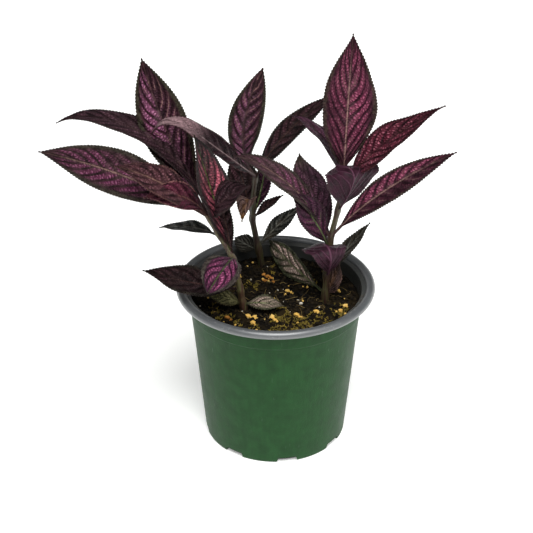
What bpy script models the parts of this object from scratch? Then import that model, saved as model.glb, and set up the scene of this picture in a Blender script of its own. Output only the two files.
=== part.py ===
"""Potted Persian shield: a nursery pot filled with soil, and three leafy stems that stand in it.

All sizes are in metres and all angles in degrees. The pot's foot rests on Z = 0 with the
pot's axis on the Z axis, +X is to the right and +Y is away from the plant's front.
"""

import math
import random
from dataclasses import dataclass

import bmesh
import bpy
from mathutils import Vector

COLLECTION_NAME = "potted_persian_shield"
CUTTER_COLLECTION_NAME = "cutters"
CLEARANCE = 0.0003
MERGE_DISTANCE = 0.00001

# Finishes: name, colour in linear light and roughness
POT_FINISH = ("pot_green", (0.035, 0.16, 0.075), 0.45)
SOIL_FINISH = ("soil_dark", (0.022, 0.015, 0.009), 0.95)
FOLIAGE_FINISH = ("leaf_purple", (0.16, 0.025, 0.10), 0.42)

# Pot
POT_HEIGHT = 0.142
POT_LIP_RADIUS = 0.0825
POT_LIP_WIDTH = 0.0075
POT_LIP_DROP = 0.006
POT_LIP_UNDERCUT = 0.0015
POT_LIP_ROOT_HEIGHT = 0.1372
POT_NECK_RADIUS = 0.0730
POT_STEP_HEIGHT = 0.120
POT_STEP_DEPTH = 0.0008
POT_STEP_INSET = 0.0020
POT_SHOULDER_HEIGHT = 0.100
POT_SHOULDER_RADIUS = 0.0690
POT_FOOT_RADIUS = 0.0603
POT_WALL = 0.0016
POT_FLOOR = 0.0024
POT_FOOT_CHAMFER = 0.0012
POT_SIDES = 48
LIP_ARC_STEPS = 8
SHARP_ANGLE = 30.0

# Drain notches round the pot's foot
NOTCH_COUNT = 8
NOTCH_FIRST_AZIMUTH = 10.0
NOTCH_WIDTH = 0.021
NOTCH_HEIGHT = 0.0048
NOTCH_REACH_IN = 0.0055
NOTCH_TAPER = 0.72

# Soil
SOIL_TOP = 0.1275
SOIL_SIDES = POT_SIDES
SOIL_RINGS = 9
SOIL_EDGE_SINK = 0.0015
SOIL_EDGE_POWER = 5
SOIL_SWELL = 0.0011
STEM_HOLE_DEPTH = 0.024
STEM_HOLE_SIDES = 16
STEM_HOLE_SLACK = 0.0005

# Waves of the soil's surface: share of the swell, radians per metre along X and Y, phase
SOIL_WAVES = (
    (0.5, 190.0, 233.0, 0.7),
    (0.5, 190.0, -233.0, 0.7),
    (0.7, 311.0, 311.0, 1.9),
    (0.6, 233.0, -140.0, 1.6),
)

# Grit and bark lumps in the soil's surface
LUMP_SEED = 7
LUMP_COUNT = 16
LUMP_SIZE_RANGE = (0.0017, 0.0027)
LUMP_RADIUS_RANGE = (0.016, 0.064)
LUMP_STEM_CLEARANCE = 0.012

# Stems
STEM_SIDES_RESOLUTION = 2
STEM_FOOT_RADIUS = 0.0027
STEM_TOP_RADIUS = 0.0018

# Leaves
LEAF_COLUMNS = 4
LEAF_ARCH = 20.0
LEAF_FOLD = 12.0
LEAF_TOOTH_PITCH = 0.013
LEAF_TOOTH_DEPTH = 0.0009
LEAF_LEAST_TEETH = 4
LEAF_BLADE_THICKNESS = 0.0009
LEAF_RIB_THICKNESS = 0.0019
PETIOLE_HALF_WIDTH = 0.0012
PETIOLE_SHARE = 0.10
SPREAD_SHARE = 0.20
MARGIN_SHARE = 0.99
TIP_HALF_WIDTH = 0.0004
LEAF_FULLNESS = 2.5
LEAF_WIDEST = 0.46
LEAF_WAVES = 2.5
LEAF_WAVE_HEIGHT = 0.05
HOOK_AT = 0.89
HOOK_SHARE = 0.24


@dataclass(frozen=True)
class Leaf:
    """One leaf, by where it leaves its stem and how it is held.

    foot is the height on the stem above the pot's foot. azimuth and rise are the way the
    middle of the leaf points, in plan from +X and above level. arch is how far it bends
    down from base to tip, sweep how far it turns to its left, roll how far its left side
    is turned up and fold how far each half is lifted. hook is a further bend about the
    share of the length that hook_at gives, and widest the share where the blade is widest.
    """

    name: str
    foot: float
    azimuth: float
    rise: float
    length: float
    width: float
    arch: float = LEAF_ARCH
    sweep: float = 0.0
    roll: float = 0.0
    fold: float = LEAF_FOLD
    hook: float = 0.0
    hook_at: float = HOOK_AT
    widest: float = LEAF_WIDEST


@dataclass(frozen=True)
class Stem:
    """A stem's route from the soil up, as (x, y, height) points, and its leaves."""

    name: str
    route: tuple
    leaves: tuple


LEFT_STEM = Stem(
    "stem_left",
    (
        (-0.026, -0.022, 0.128),
        (-0.029, -0.024, 0.150),
        (-0.034, -0.029, 0.180),
        (-0.045, -0.030, 0.201),
        (-0.054, -0.030, 0.219),
    ),
    (
        Leaf("long_left", 0.217, 185, 26, 0.141, 0.037, 18, 16, -53, widest=0.51),
        Leaf("back_left", 0.215, 164, 31, 0.159, 0.028, 81, 34, -7, hook=14, widest=0.50),
        Leaf("tall_left", 0.217, 136, 57, 0.133, 0.039, 5, -12, -44, widest=0.54),
        Leaf("front_upright", 0.180, 182, 75, 0.110, 0.041, 1, -4, -28, widest=0.52),
        Leaf("red_left", 0.218, 206, 39, 0.094, 0.028, 15, 20, -45),
        Leaf("small_left", 0.218, 213, 32, 0.066, 0.022, 20, 60, -60),
        Leaf("dark_inner", 0.217, 330, 45, 0.052, 0.032, 30, 0, 40),
        Leaf("dark_petiole", 0.180, 180, 81, 0.062, 0.012, 10, 0, -90, widest=0.50),
        Leaf("low_grey", 0.200, 144, -10, 0.064, 0.016, 19, 19, -9),
        Leaf("bright_front", 0.178, 249, -2, 0.055, 0.030, 112, -18, -16, widest=0.61),
        Leaf("over_rim", 0.148, 190, 17, 0.082, 0.029, -10, -10, -28),
        Leaf("olive_low", 0.132, 199, 27, 0.035, 0.015, 23, 22, -42),
        Leaf("soil_leaf", 0.133, 348, 5, 0.035, 0.016, 30, 0, 20),
    ),
)

MIDDLE_STEM = Stem(
    "stem_middle",
    (
        (-0.012, 0.052, 0.128),
        (-0.016, 0.052, 0.150),
        (-0.020, 0.051, 0.172),
        (-0.019, 0.050, 0.195),
        (-0.017, 0.049, 0.215),
    ),
    (
        Leaf("arching_left", 0.214, 230, 42, 0.156, 0.020, 28, -27, -61, 20, hook=113, hook_at=0.86),
        Leaf("upright", 0.214, 96, 110, 0.123, 0.029, 30, -58, 8, widest=0.60),
        Leaf("narrow_right", 0.211, 5, 49, 0.107, 0.020, 70, -7, 47),
        Leaf("dark_left", 0.174, 140, 72, 0.064, 0.028, 15, 0, -40),
        Leaf("dark_right", 0.174, 52, 67, 0.050, 0.015, 13, 14, 40, widest=0.58),
        Leaf("low_olive", 0.142, 147, 11, 0.027, 0.017, 39, -18, -43),
        Leaf("low_right", 0.146, 20, 40, 0.052, 0.015, 22, 0, 30),
        Leaf("folded_right", 0.174, 11, 36, 0.033, 0.011, 5, 0, 20, 25),
        Leaf("withered", 0.186, 258, 14, 0.048, 0.018, 101, 13, 0, 30),
    ),
)

RIGHT_STEM = Stem(
    "stem_right",
    (
        (0.041, -0.007, 0.128),
        (0.042, -0.007, 0.155),
        (0.044, -0.008, 0.186),
        (0.049, -0.010, 0.211),
        (0.053, -0.010, 0.238),
    ),
    (
        Leaf("tallest", 0.236, 81, 69, 0.119, 0.046, 34, -15, 26),
        Leaf("rough_right", 0.236, 359, 42, 0.103, 0.031, 36, 3, 24, widest=0.37),
        Leaf("upper_left", 0.236, 139, 41, 0.074, 0.026, 64, 6, 17),
        Leaf(
            "cupped_front", 0.213, 305, 67, 0.068, 0.049, -47, 4, -3, 4,
            hook=-105, hook_at=0.72, widest=0.62,
        ),
        Leaf("long_right", 0.187, 337, 44, 0.138, 0.022, 40, -12, 66, widest=0.52),
        Leaf("olive_right", 0.155, 15, 48, 0.054, 0.016, 0, 9, 10),
        Leaf("long_arch", 0.185, 194, 49, 0.118, 0.025, 45, 6, -31, hook=15, widest=0.54),
        Leaf("under_arch", 0.176, 212, 60, 0.070, 0.025, 15, 12, -80, widest=0.55),
        Leaf("broad_back", 0.186, 139, 60, 0.074, 0.035, -2, 11, -76, hook=30, widest=0.49),
        Leaf(
            "curled_front", 0.152, 280, 73, 0.084, 0.036, -85, 24, 9,
            hook=-108, hook_at=0.51, widest=0.60,
        ),
        Leaf("brown_low", 0.132, 27, 64, 0.031, 0.024, 7, 30, 6),
        Leaf("silver_low", 0.134, 123, 7, 0.088, 0.022, 7, -5, -67, widest=0.55),
    ),
)

STEMS = (LEFT_STEM, MIDDLE_STEM, RIGHT_STEM)


def clear_scene():
    """Remove every object, so the script gives the same model each run."""
    for item in list(bpy.data.objects):
        bpy.data.objects.remove(item, do_unlink=True)


def make_collection(name):
    """Return a new collection in the scene, in place of any old one of that name."""
    old = bpy.data.collections.get(name)
    if old is not None:
        bpy.data.collections.remove(old)
    collection = bpy.data.collections.new(name)
    bpy.context.scene.collection.children.link(collection)
    return collection


def make_material(name, colour, roughness):
    """Return a plain Principled material."""
    material = bpy.data.materials.new(name)
    material.use_nodes = True
    shader = material.node_tree.nodes["Principled BSDF"]
    shader.inputs["Base Color"].default_value = (*colour, 1.0)
    shader.inputs["Roughness"].default_value = roughness
    shader.inputs["Metallic"].default_value = 0.0
    return material


def add_object(name, mesh, collection):
    """Put a mesh in the scene as an object of the collection."""
    item = bpy.data.objects.new(name, mesh)
    collection.objects.link(item)
    return item


def mesh_from(item):
    """Return a new welded mesh of an object as its modifiers leave it."""
    depsgraph = bpy.context.evaluated_depsgraph_get()
    mesh = bpy.data.meshes.new_from_object(item.evaluated_get(depsgraph))
    shape = bmesh.new()
    shape.from_mesh(mesh)
    bmesh.ops.remove_doubles(shape, verts=shape.verts, dist=MERGE_DISTANCE)
    bmesh.ops.recalc_face_normals(shape, faces=shape.faces)
    shape.to_mesh(mesh)
    shape.free()
    return mesh


def settle(item):
    """Replace an object by its evaluated mesh, and return the new object."""
    name = item.name
    collection = item.users_collection[0]
    mesh = mesh_from(item)
    bpy.data.objects.remove(item, do_unlink=True)
    mesh.name = name
    return add_object(name, mesh, collection)


def hide_cutter(item):
    """Show a cutter as a wire, and leave it out of the model."""
    item.hide_render = True
    item.display_type = "WIRE"


def turned(name, profile, sides, collection):
    """Turn a profile of (radius, height) points, from the axis round to the axis again."""
    mesh = bpy.data.meshes.new(name)
    shape = bmesh.new()
    verts = [shape.verts.new((radius, 0.0, height)) for radius, height in profile]
    for first, second in zip(verts, verts[1:]):
        shape.edges.new((first, second))
    shape.to_mesh(mesh)
    shape.free()
    item = add_object(name, mesh, collection)
    screw = item.modifiers.new("turn", "SCREW")
    screw.axis = "Z"
    screw.steps = sides
    screw.render_steps = sides
    screw.use_merge_vertices = True
    screw.merge_threshold = MERGE_DISTANCE
    return item


def boolean(item, operation, operand):
    """Give an object a Boolean modifier with another object or a collection."""
    modifier = item.modifiers.new(operation.lower(), "BOOLEAN")
    modifier.operation = operation
    modifier.solver = "EXACT"
    if isinstance(operand, bpy.types.Collection):
        modifier.operand_type = "COLLECTION"
        modifier.collection = operand
    else:
        modifier.object = operand


def pot_outer_wall():
    """Return the outer wall's points from the lip's underside down to the foot."""
    lip_under = POT_HEIGHT - POT_LIP_DROP
    return [
        (POT_NECK_RADIUS, lip_under),
        (POT_NECK_RADIUS - POT_STEP_DEPTH, POT_STEP_HEIGHT + POT_STEP_DEPTH),
        (POT_NECK_RADIUS - POT_STEP_INSET, POT_STEP_HEIGHT),
        (POT_SHOULDER_RADIUS, POT_SHOULDER_HEIGHT),
        (POT_FOOT_RADIUS, POT_FOOT_CHAMFER),
    ]


def pot_inner_wall():
    """Return the inner wall's points from the floor up to the lip's root."""
    slope = (POT_SHOULDER_RADIUS - POT_FOOT_RADIUS) / POT_SHOULDER_HEIGHT
    return [
        (POT_FOOT_RADIUS + slope * POT_FLOOR - POT_WALL, POT_FLOOR),
        (POT_SHOULDER_RADIUS - POT_WALL, POT_SHOULDER_HEIGHT),
        (POT_NECK_RADIUS - POT_WALL, POT_LIP_ROOT_HEIGHT),
    ]


def inner_radius(height):
    """Return the inner wall's radius at a height."""
    wall = pot_inner_wall()
    for (lower_radius, lower), (upper_radius, upper) in zip(wall, wall[1:]):
        if height <= upper:
            share = (height - lower) / (upper - lower)
            return lower_radius + share * (upper_radius - lower_radius)
    return wall[-1][0]


def pot_profile():
    """Return the pot's closed section: floor, inner wall, lip, outer wall, underside."""
    lip_half = 0.5 * POT_LIP_WIDTH
    lip_middle = POT_LIP_RADIUS - lip_half
    arc_height = POT_HEIGHT - lip_half
    inner = [(0.0, POT_FLOOR)] + pot_inner_wall()
    lip = []
    for index in range(LIP_ARC_STEPS + 1):
        angle = math.pi * (1.0 - index / LIP_ARC_STEPS)
        radius = lip_middle + lip_half * math.cos(angle)
        lip.append((radius, arc_height + lip_half * math.sin(angle)))
    under = [(POT_LIP_RADIUS - POT_LIP_UNDERCUT, POT_HEIGHT - POT_LIP_DROP)]
    base = [(POT_FOOT_RADIUS - POT_FOOT_CHAMFER, 0.0), (0.0, 0.0)]
    return inner + lip + under + pot_outer_wall() + base


def make_notch_cutters(collection):
    """Make the wedges that cut the drain notches out of the pot's heel."""
    cutters = []
    outer = POT_FOOT_RADIUS + NOTCH_REACH_IN
    inner = POT_FOOT_RADIUS - NOTCH_REACH_IN
    for index in range(NOTCH_COUNT):
        azimuth = math.radians(NOTCH_FIRST_AZIMUTH + 360.0 * index / NOTCH_COUNT)
        mesh = bpy.data.meshes.new(f"notch_{index}")
        shape = bmesh.new()
        bmesh.ops.create_cube(shape, size=1.0)
        for vert in shape.verts:
            width = NOTCH_WIDTH * (NOTCH_TAPER if vert.co.z > 0.0 else 1.0)
            radius = outer if vert.co.x > 0.0 else inner
            side = vert.co.y * width
            height = NOTCH_HEIGHT if vert.co.z > 0.0 else -NOTCH_HEIGHT
            vert.co.x = radius * math.cos(azimuth) - side * math.sin(azimuth)
            vert.co.y = radius * math.sin(azimuth) + side * math.cos(azimuth)
            vert.co.z = height
        shape.to_mesh(mesh)
        shape.free()
        cutter = add_object(f"notch_{index}", mesh, collection)
        hide_cutter(cutter)
        cutters.append(cutter)
    return cutters


def make_pot(collection, cutters):
    """Make the pot: one moulded shell with a rounded lip and notches in its heel."""
    pot = turned("pot", pot_profile(), POT_SIDES, collection)
    pot = settle(pot)
    for notch in make_notch_cutters(cutters):
        boolean(pot, "DIFFERENCE", notch)
    pot.data.materials.append(make_material(*POT_FINISH))
    smooth_by_angle(pot)


def smooth_by_angle(item):
    """Shade an object smooth but for its sharp edges."""
    item.data.shade_smooth()
    item.data.set_sharp_from_angle(angle=math.radians(SHARP_ANGLE))


def soil_height(x, y):
    """Return how far the soil's surface stands above or below its mean level."""
    swell = sum(
        share * math.sin(along_x * x + along_y * y + phase)
        for share, along_x, along_y, phase in SOIL_WAVES
    )
    edge = (math.hypot(x, y) / inner_radius(SOIL_TOP)) ** SOIL_EDGE_POWER
    return SOIL_SWELL * swell * (1.0 - edge) - SOIL_EDGE_SINK * edge


def soil_profile():
    """Return the soil's section: rings over the top, then down inside the pot's wall."""
    edge = inner_radius(SOIL_TOP - SOIL_EDGE_SINK) - CLEARANCE
    rings = [(edge * index / SOIL_RINGS, SOIL_TOP) for index in range(SOIL_RINGS + 1)]
    shoulder = (inner_radius(POT_SHOULDER_HEIGHT) - CLEARANCE, POT_SHOULDER_HEIGHT)
    foot_height = POT_FLOOR + CLEARANCE
    foot = (inner_radius(foot_height) - CLEARANCE, foot_height)
    return rings + [shoulder, foot, (0.0, foot_height)]


def lump_places():
    """Return the seeded places and sizes of the lumps, clear of the stems."""
    draws = random.Random(LUMP_SEED)
    places = []
    while len(places) < LUMP_COUNT:
        radius = draws.uniform(*LUMP_RADIUS_RANGE)
        azimuth = draws.uniform(0.0, 2.0 * math.pi)
        size = draws.uniform(*LUMP_SIZE_RANGE)
        spot = Vector((radius * math.cos(azimuth), radius * math.sin(azimuth), 0.0))
        feet = [Vector((stem.route[0][0], stem.route[0][1], 0.0)) for stem in STEMS]
        if all((spot - foot).length > LUMP_STEM_CLEARANCE for foot in feet):
            spot.z = SOIL_TOP + soil_height(spot.x, spot.y)
            places.append((spot, size))
    return places


def make_lumps():
    """Make the lumps in a collection of their own, ready to join to the soil."""
    collection = make_collection("soil_lumps")
    for index, (spot, size) in enumerate(lump_places()):
        mesh = bpy.data.meshes.new(f"lump_{index}")
        shape = bmesh.new()
        bmesh.ops.create_icosphere(shape, subdivisions=1, radius=size)
        bmesh.ops.translate(shape, verts=shape.verts, vec=spot)
        shape.to_mesh(mesh)
        shape.free()
        add_object(f"lump_{index}", mesh, collection)
    return collection


def make_stem_holes(collection):
    """Make the cylinders that cut each stem's plain hole in the soil."""
    cutters = []
    for stem in STEMS:
        x, y, _ = stem.route[0]
        mesh = bpy.data.meshes.new(f"{stem.name}_hole")
        shape = bmesh.new()
        radius = STEM_FOOT_RADIUS + STEM_HOLE_SLACK
        bmesh.ops.create_cone(
            shape,
            cap_ends=True,
            segments=STEM_HOLE_SIDES,
            radius1=radius,
            radius2=radius,
            depth=2.0 * STEM_HOLE_DEPTH,
        )
        bmesh.ops.translate(shape, verts=shape.verts, vec=(x, y, SOIL_TOP))
        shape.to_mesh(mesh)
        shape.free()
        cutter = add_object(f"{stem.name}_hole", mesh, collection)
        hide_cutter(cutter)
        cutters.append(cutter)
    return cutters


def remove_collection(collection):
    """Remove a collection and the objects in it."""
    for item in list(collection.objects):
        bpy.data.objects.remove(item, do_unlink=True)
    bpy.data.collections.remove(collection)


def make_soil(collection, cutters):
    """Make the soil: a filled body with an uneven, lumpy top and a hole for each stem."""
    soil = settle(turned("soil", soil_profile(), SOIL_SIDES, collection))
    for vert in soil.data.vertices:
        if vert.co.z > SOIL_TOP - CLEARANCE:
            vert.co.z += soil_height(vert.co.x, vert.co.y)
    lumps = make_lumps()
    boolean(soil, "UNION", lumps)
    soil = settle(soil)
    remove_collection(lumps)
    for hole in make_stem_holes(cutters):
        boolean(soil, "DIFFERENCE", hole)
    soil.data.materials.append(make_material(*SOIL_FINISH))


def direction(azimuth, rise):
    """Return the unit vector at an azimuth from +X and a rise above level."""
    flat = math.cos(math.radians(rise))
    return Vector(
        (
            flat * math.cos(math.radians(azimuth)),
            flat * math.sin(math.radians(azimuth)),
            math.sin(math.radians(rise)),
        )
    )


def point_on_stem(stem, height):
    """Return the point of a stem's route at a height."""
    points = [Vector(point) for point in stem.route]
    for lower, upper in zip(points, points[1:]):
        if height <= upper.z:
            share = (height - lower.z) / (upper.z - lower.z)
            return lower.lerp(upper, max(share, 0.0))
    return points[-1].copy()


def ease(share):
    """Return 0 to 1 along a smooth step."""
    share = min(max(share, 0.0), 1.0)
    return share * share * (3.0 - 2.0 * share)


def leaf_frames(leaf, root, steps):
    """Return the midrib's point and its forward, side and up vectors at each step."""
    forward = direction(leaf.azimuth, leaf.rise)
    level = direction(leaf.azimuth + 90.0, 0.0)
    above = forward.cross(level)
    turn = math.radians(leaf.roll)
    side = level * math.cos(turn) + above * math.sin(turn)
    up = forward.cross(side)
    point = root.copy()
    frames = []
    for index in range(steps + 1):
        share = index / steps
        hook = leaf.hook * ease((share - leaf.hook_at) / HOOK_SHARE + 0.5)
        lift = math.radians(leaf.arch * (0.5 - share) - hook)
        swing = math.radians(leaf.sweep * (share - 0.5))
        ahead = (forward * math.cos(swing) + side * math.sin(swing)) * math.cos(lift)
        ahead += up * math.sin(lift)
        across = side * math.cos(swing) - forward * math.sin(swing)
        if index > 0:
            point = point + ahead * (leaf.length / steps)
        frames.append((point.copy(), ahead, across, ahead.cross(across)))
    return frames


def half_width(leaf, share):
    """Return half the blade's width at a share of its length, from petiole to tip."""
    if share <= PETIOLE_SHARE:
        return PETIOLE_HALF_WIDTH
    blade = (share - PETIOLE_SHARE) / (1.0 - PETIOLE_SHARE)
    fore = LEAF_FULLNESS * leaf.widest
    aft = LEAF_FULLNESS * (1.0 - leaf.widest)
    peak = leaf.widest**fore * (1.0 - leaf.widest) ** aft
    full = blade**fore * (1.0 - blade) ** aft / peak
    least = PETIOLE_HALF_WIDTH + (TIP_HALF_WIDTH - PETIOLE_HALF_WIDTH) * blade
    return max(0.5 * leaf.width * full, least)


def leaf_point(leaf, frames, station, across_share, face):
    """Return the blade's point at a station and a share of its half width, on a face."""
    steps = len(frames) - 1
    share = station / steps
    point, _, side, up = frames[station]
    half = half_width(leaf, share)
    edge = abs(across_share)
    if edge > MARGIN_SHARE and PETIOLE_SHARE < share < 1.0:
        tooth = LEAF_TOOTH_DEPTH if station % 2 else -LEAF_TOOTH_DEPTH
        half = max(half + tooth, TIP_HALF_WIDTH)
    spread = ease((share - PETIOLE_SHARE) / SPREAD_SHARE)
    fold = math.radians(leaf.fold) * spread
    wave = LEAF_WAVE_HEIGHT * spread * math.sin(2.0 * math.pi * LEAF_WAVES * share)
    out = across_share * half
    lift = edge * half * math.sin(fold) + edge * edge * wave * 0.5 * leaf.width
    rib = LEAF_RIB_THICKNESS + (LEAF_BLADE_THICKNESS - LEAF_RIB_THICKNESS) * ease(share)
    thickness = LEAF_BLADE_THICKNESS + (rib - LEAF_BLADE_THICKNESS) * (1.0 - edge)
    return point + side * (out * math.cos(fold)) + up * (lift + face * 0.5 * thickness)


def leaf_stations(leaf):
    """Return an even number of steps along a leaf, two for each tooth of its margin."""
    teeth = max(LEAF_LEAST_TEETH, round(leaf.length / LEAF_TOOTH_PITCH))
    return 2 * teeth


def make_leaf(leaf, stem, collection):
    """Make one leaf: a grid in triangles, given its thickness and bent into place."""
    steps = leaf_stations(leaf)
    frames = leaf_frames(leaf, point_on_stem(stem, leaf.foot), steps)
    shape = bmesh.new()
    bmesh.ops.create_grid(shape, x_segments=LEAF_COLUMNS, y_segments=steps, size=1.0)
    bmesh.ops.triangulate(shape, faces=shape.faces)
    upper = set(shape.verts)
    bmesh.ops.extrude_face_region(shape, geom=list(shape.faces), use_keep_orig=True)
    for vert in shape.verts:
        station = round(0.5 * (vert.co.y + 1.0) * steps)
        face = 1.0 if vert in upper else -1.0
        vert.co = leaf_point(leaf, frames, station, -vert.co.x, face)
    bmesh.ops.recalc_face_normals(shape, faces=shape.faces)
    mesh = bpy.data.meshes.new(leaf.name)
    shape.to_mesh(mesh)
    shape.free()
    return add_object(leaf.name, mesh, collection)


def make_stalk(stem, collection):
    """Make the bare stalk: a tapered tube that ends just above its hole's floor."""
    curve = bpy.data.curves.new(stem.name, "CURVE")
    curve.dimensions = "3D"
    curve.bevel_depth = 1.0
    curve.bevel_resolution = STEM_SIDES_RESOLUTION
    curve.use_fill_caps = True
    x, y, _ = stem.route[0]
    foot = (x, y, SOIL_TOP - STEM_HOLE_DEPTH + CLEARANCE)
    points = (foot, *stem.route)
    spline = curve.splines.new("POLY")
    spline.points.add(len(points) - 1)
    for index, point in enumerate(points):
        share = max(index - 1, 0) / (len(points) - 2)
        spline.points[index].co = (*point, 1.0)
        spline.points[index].radius = (
            STEM_FOOT_RADIUS + (STEM_TOP_RADIUS - STEM_FOOT_RADIUS) * share
        )
    return settle(add_object(stem.name, curve, collection))


def make_leafy_stem(stem, collection, material):
    """Make a stalk with its leaves joined to it as one solid."""
    stalk = make_stalk(stem, collection)
    leaves = make_collection(f"{stem.name}_leaves")
    for leaf in stem.leaves:
        make_leaf(leaf, stem, leaves)
    boolean(stalk, "UNION", leaves)
    joined = settle(stalk)
    remove_collection(leaves)
    joined.data.materials.append(material)
    smooth_by_angle(joined)


def main():
    clear_scene()
    collection = make_collection(COLLECTION_NAME)
    cutters = make_collection(CUTTER_COLLECTION_NAME)
    make_pot(collection, cutters)
    make_soil(collection, cutters)
    foliage = make_material(*FOLIAGE_FINISH)
    for stem in STEMS:
        make_leafy_stem(stem, collection, foliage)


if __name__ == "__main__":
    main()
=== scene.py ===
"""Dress the potted Persian shield: fine leaves, stalks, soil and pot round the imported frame.

All sizes are in metres and all angles in degrees. The pot's foot rests on Z = 0 with the
pot's axis on the Z axis, +X is to the right and +Y is away from the camera.
"""

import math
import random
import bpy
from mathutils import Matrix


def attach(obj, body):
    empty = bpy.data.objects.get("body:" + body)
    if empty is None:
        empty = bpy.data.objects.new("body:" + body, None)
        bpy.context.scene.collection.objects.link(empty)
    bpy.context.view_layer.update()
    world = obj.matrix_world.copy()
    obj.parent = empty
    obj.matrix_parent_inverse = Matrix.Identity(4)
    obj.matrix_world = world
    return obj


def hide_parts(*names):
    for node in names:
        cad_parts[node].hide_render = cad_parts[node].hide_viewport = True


bl_info = {
    "name": "Potted Persian Shield",
    "version": (1, 0, 0),
    "blender": (4, 5, 0),
    "location": "View3D > Sidebar > Plant",
    "description": "Builds a Persian shield in a nursery pot round its packed frame",
    "category": "Object",
}

from dataclasses import dataclass

import bmesh
import bpy
from mathutils import Matrix, Vector, noise

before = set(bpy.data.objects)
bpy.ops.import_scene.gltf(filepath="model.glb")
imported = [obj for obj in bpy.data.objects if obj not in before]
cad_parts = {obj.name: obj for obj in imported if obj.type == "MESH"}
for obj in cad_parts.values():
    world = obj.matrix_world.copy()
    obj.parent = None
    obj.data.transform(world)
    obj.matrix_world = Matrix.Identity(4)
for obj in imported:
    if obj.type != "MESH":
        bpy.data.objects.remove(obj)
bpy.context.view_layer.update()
BODY = "root"
MERGE_DISTANCE = 0.00001
CLOUD_ROUGHNESS = 0.55
CELL_RANDOMNESS = 0.75
WHITE = (1.0, 1.0, 1.0)

# Pot, as its solid has it
POT_HEIGHT = 0.142
POT_LIP_RADIUS = 0.0825
POT_LIP_WIDTH = 0.0075
POT_LIP_DROP = 0.006
POT_LIP_ROOT_HEIGHT = 0.1372
POT_NECK_RADIUS = 0.0730
POT_STEP_HEIGHT = 0.120
POT_STEP_DEPTH = 0.0008
POT_STEP_INSET = 0.0020
POT_SHOULDER_HEIGHT = 0.100
POT_SHOULDER_RADIUS = 0.0690
POT_FOOT_RADIUS = 0.0603
POT_WALL = 0.0016
POT_FLOOR = 0.0024
NOTCH_COUNT = 8
NOTCH_FIRST_AZIMUTH = 10.0
NOTCH_WIDTH = 0.021
NOTCH_HEIGHT = 0.0048
NOTCH_REACH_IN = 0.0055
NOTCH_TAPER = 0.72

# Soil, as its solid has it
SOIL_TOP = 0.1275
SOIL_EDGE_SINK = 0.0015
SOIL_EDGE_POWER = 5
SOIL_SWELL = 0.0011
SOIL_GAP = 0.0003
STEM_HOLE_DEPTH = 0.024
SOIL_WAVES = (
    (0.5, 190.0, 233.0, 0.7),
    (0.5, 190.0, -233.0, 0.7),
    (0.7, 311.0, 311.0, 1.9),
    (0.6, 233.0, -140.0, 1.6),
)

# Stalks and leaves, as their solids have them
STEM_FOOT_RADIUS = 0.0027
STEM_TOP_RADIUS = 0.0018
SOLID_TOOTH_PITCH = 0.013
SOLID_LEAST_TEETH = 4
PETIOLE_HALF_WIDTH = 0.0012
PETIOLE_SHARE = 0.10
PETIOLE_THICKNESS = 0.0019
SPREAD_SHARE = 0.20
TIP_HALF_WIDTH = 0.0004
LEAF_FULLNESS = 2.5
LEAF_WAVES = 2.5
LEAF_WAVE_HEIGHT = 0.05
HOOK_SHARE = 0.24


@dataclass(frozen=True)
class Leaf:
    """One leaf, by where it leaves its stem and how it is held.

    foot is the height on the stem above the pot's foot. azimuth and rise are the way the
    middle of the leaf points, in plan from +X and above level. arch is how far it bends
    down from base to tip, sweep how far it turns to its left, roll how far its left side
    is turned up and fold how far each half is lifted. hook is a further bend about the
    share of the length that hook_at gives, and widest the share where the blade is widest.
    """

    name: str
    foot: float
    azimuth: float
    rise: float
    length: float
    width: float
    arch: float = 20.0
    sweep: float = 0.0
    roll: float = 0.0
    fold: float = 12.0
    hook: float = 0.0
    hook_at: float = 0.89
    widest: float = 0.46


@dataclass(frozen=True)
class Stem:
    """A stem's route from the soil up, as (x, y, height) points, and its leaves."""

    name: str
    route: tuple
    leaves: tuple


@dataclass(frozen=True)
class Look:
    """The colours of a kind of leaf, in linear light, and how its face is marked.

    border is the share of the half width that the margin takes. lines says how clear the dark
    veins are, crest how strong the painted highlight is on the crests between them,
    painted_glint how strong the painted highlight is on the small bumps of the patches, pucker
    how high they stand, rib_reach how far along the leaf the midrib shows and metal how
    metallic the patches are.
    """

    ground: tuple
    patch: tuple
    zone: tuple
    vein: tuple
    rib: tuple
    margin: tuple
    under: tuple
    under_vein: tuple
    border: float = 0.14
    lines: float = 0.7
    crest: float = 0.3
    painted_glint: float = 0.7
    pucker: float = 1.0
    rib_reach: float = 0.6
    metal: float = 0.35


@dataclass(frozen=True)
class Dress:
    """Which look a leaf has and how bright its patches are on each side and at each end.

    haze lays the zone's colour over the blade, from the share of the length that
    tint_and_sheen_at gives up to the tip, or down to the base when haze is negative.
    On most leaves it is their own tint, and over the hooked tip of arching_left it is a
    painted sheen. spots are brighter or darker places as (share of the length, share of the
    half width with the left side positive, reach, strength). The brightness by side, end and
    spot is partly the leaf's own colour and partly painted light and shade: some halves that
    lie in shade are painted dark, and some spots are painted highlights. under_base and
    under_tip say how light the underside is.
    """

    look: str
    left: float = 1.0
    right: float = 1.0
    base: float = 1.0
    tip: float = 1.0
    haze: float = 0.0
    tint_and_sheen_at: float = 0.5
    spots: tuple = ()
    under_base: float = 1.0
    under_tip: float = 1.0


@dataclass(frozen=True)
class Bits:
    """A kind of small bit that lies on the soil, by its piece's name and its material's.

    places are the bits that show between the leaves, as (x, y, size). flatness and sink
    are their form and how deep they lie. chip is a smaller bit against each, as (way
    right, way back, size) in shares of the bit's own size. strays is how many more lie
    anywhere, and loose_flatness is the form of chips and strays. colour names the first
    colour's setting, and second is the other colour.
    """

    piece: str
    material: str
    places: tuple
    colour: str
    second: tuple
    flatness: float
    sink: float
    loose_flatness: float
    chip: tuple = ()
    strays: int = 0
    stray_sizes: tuple = ()


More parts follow.
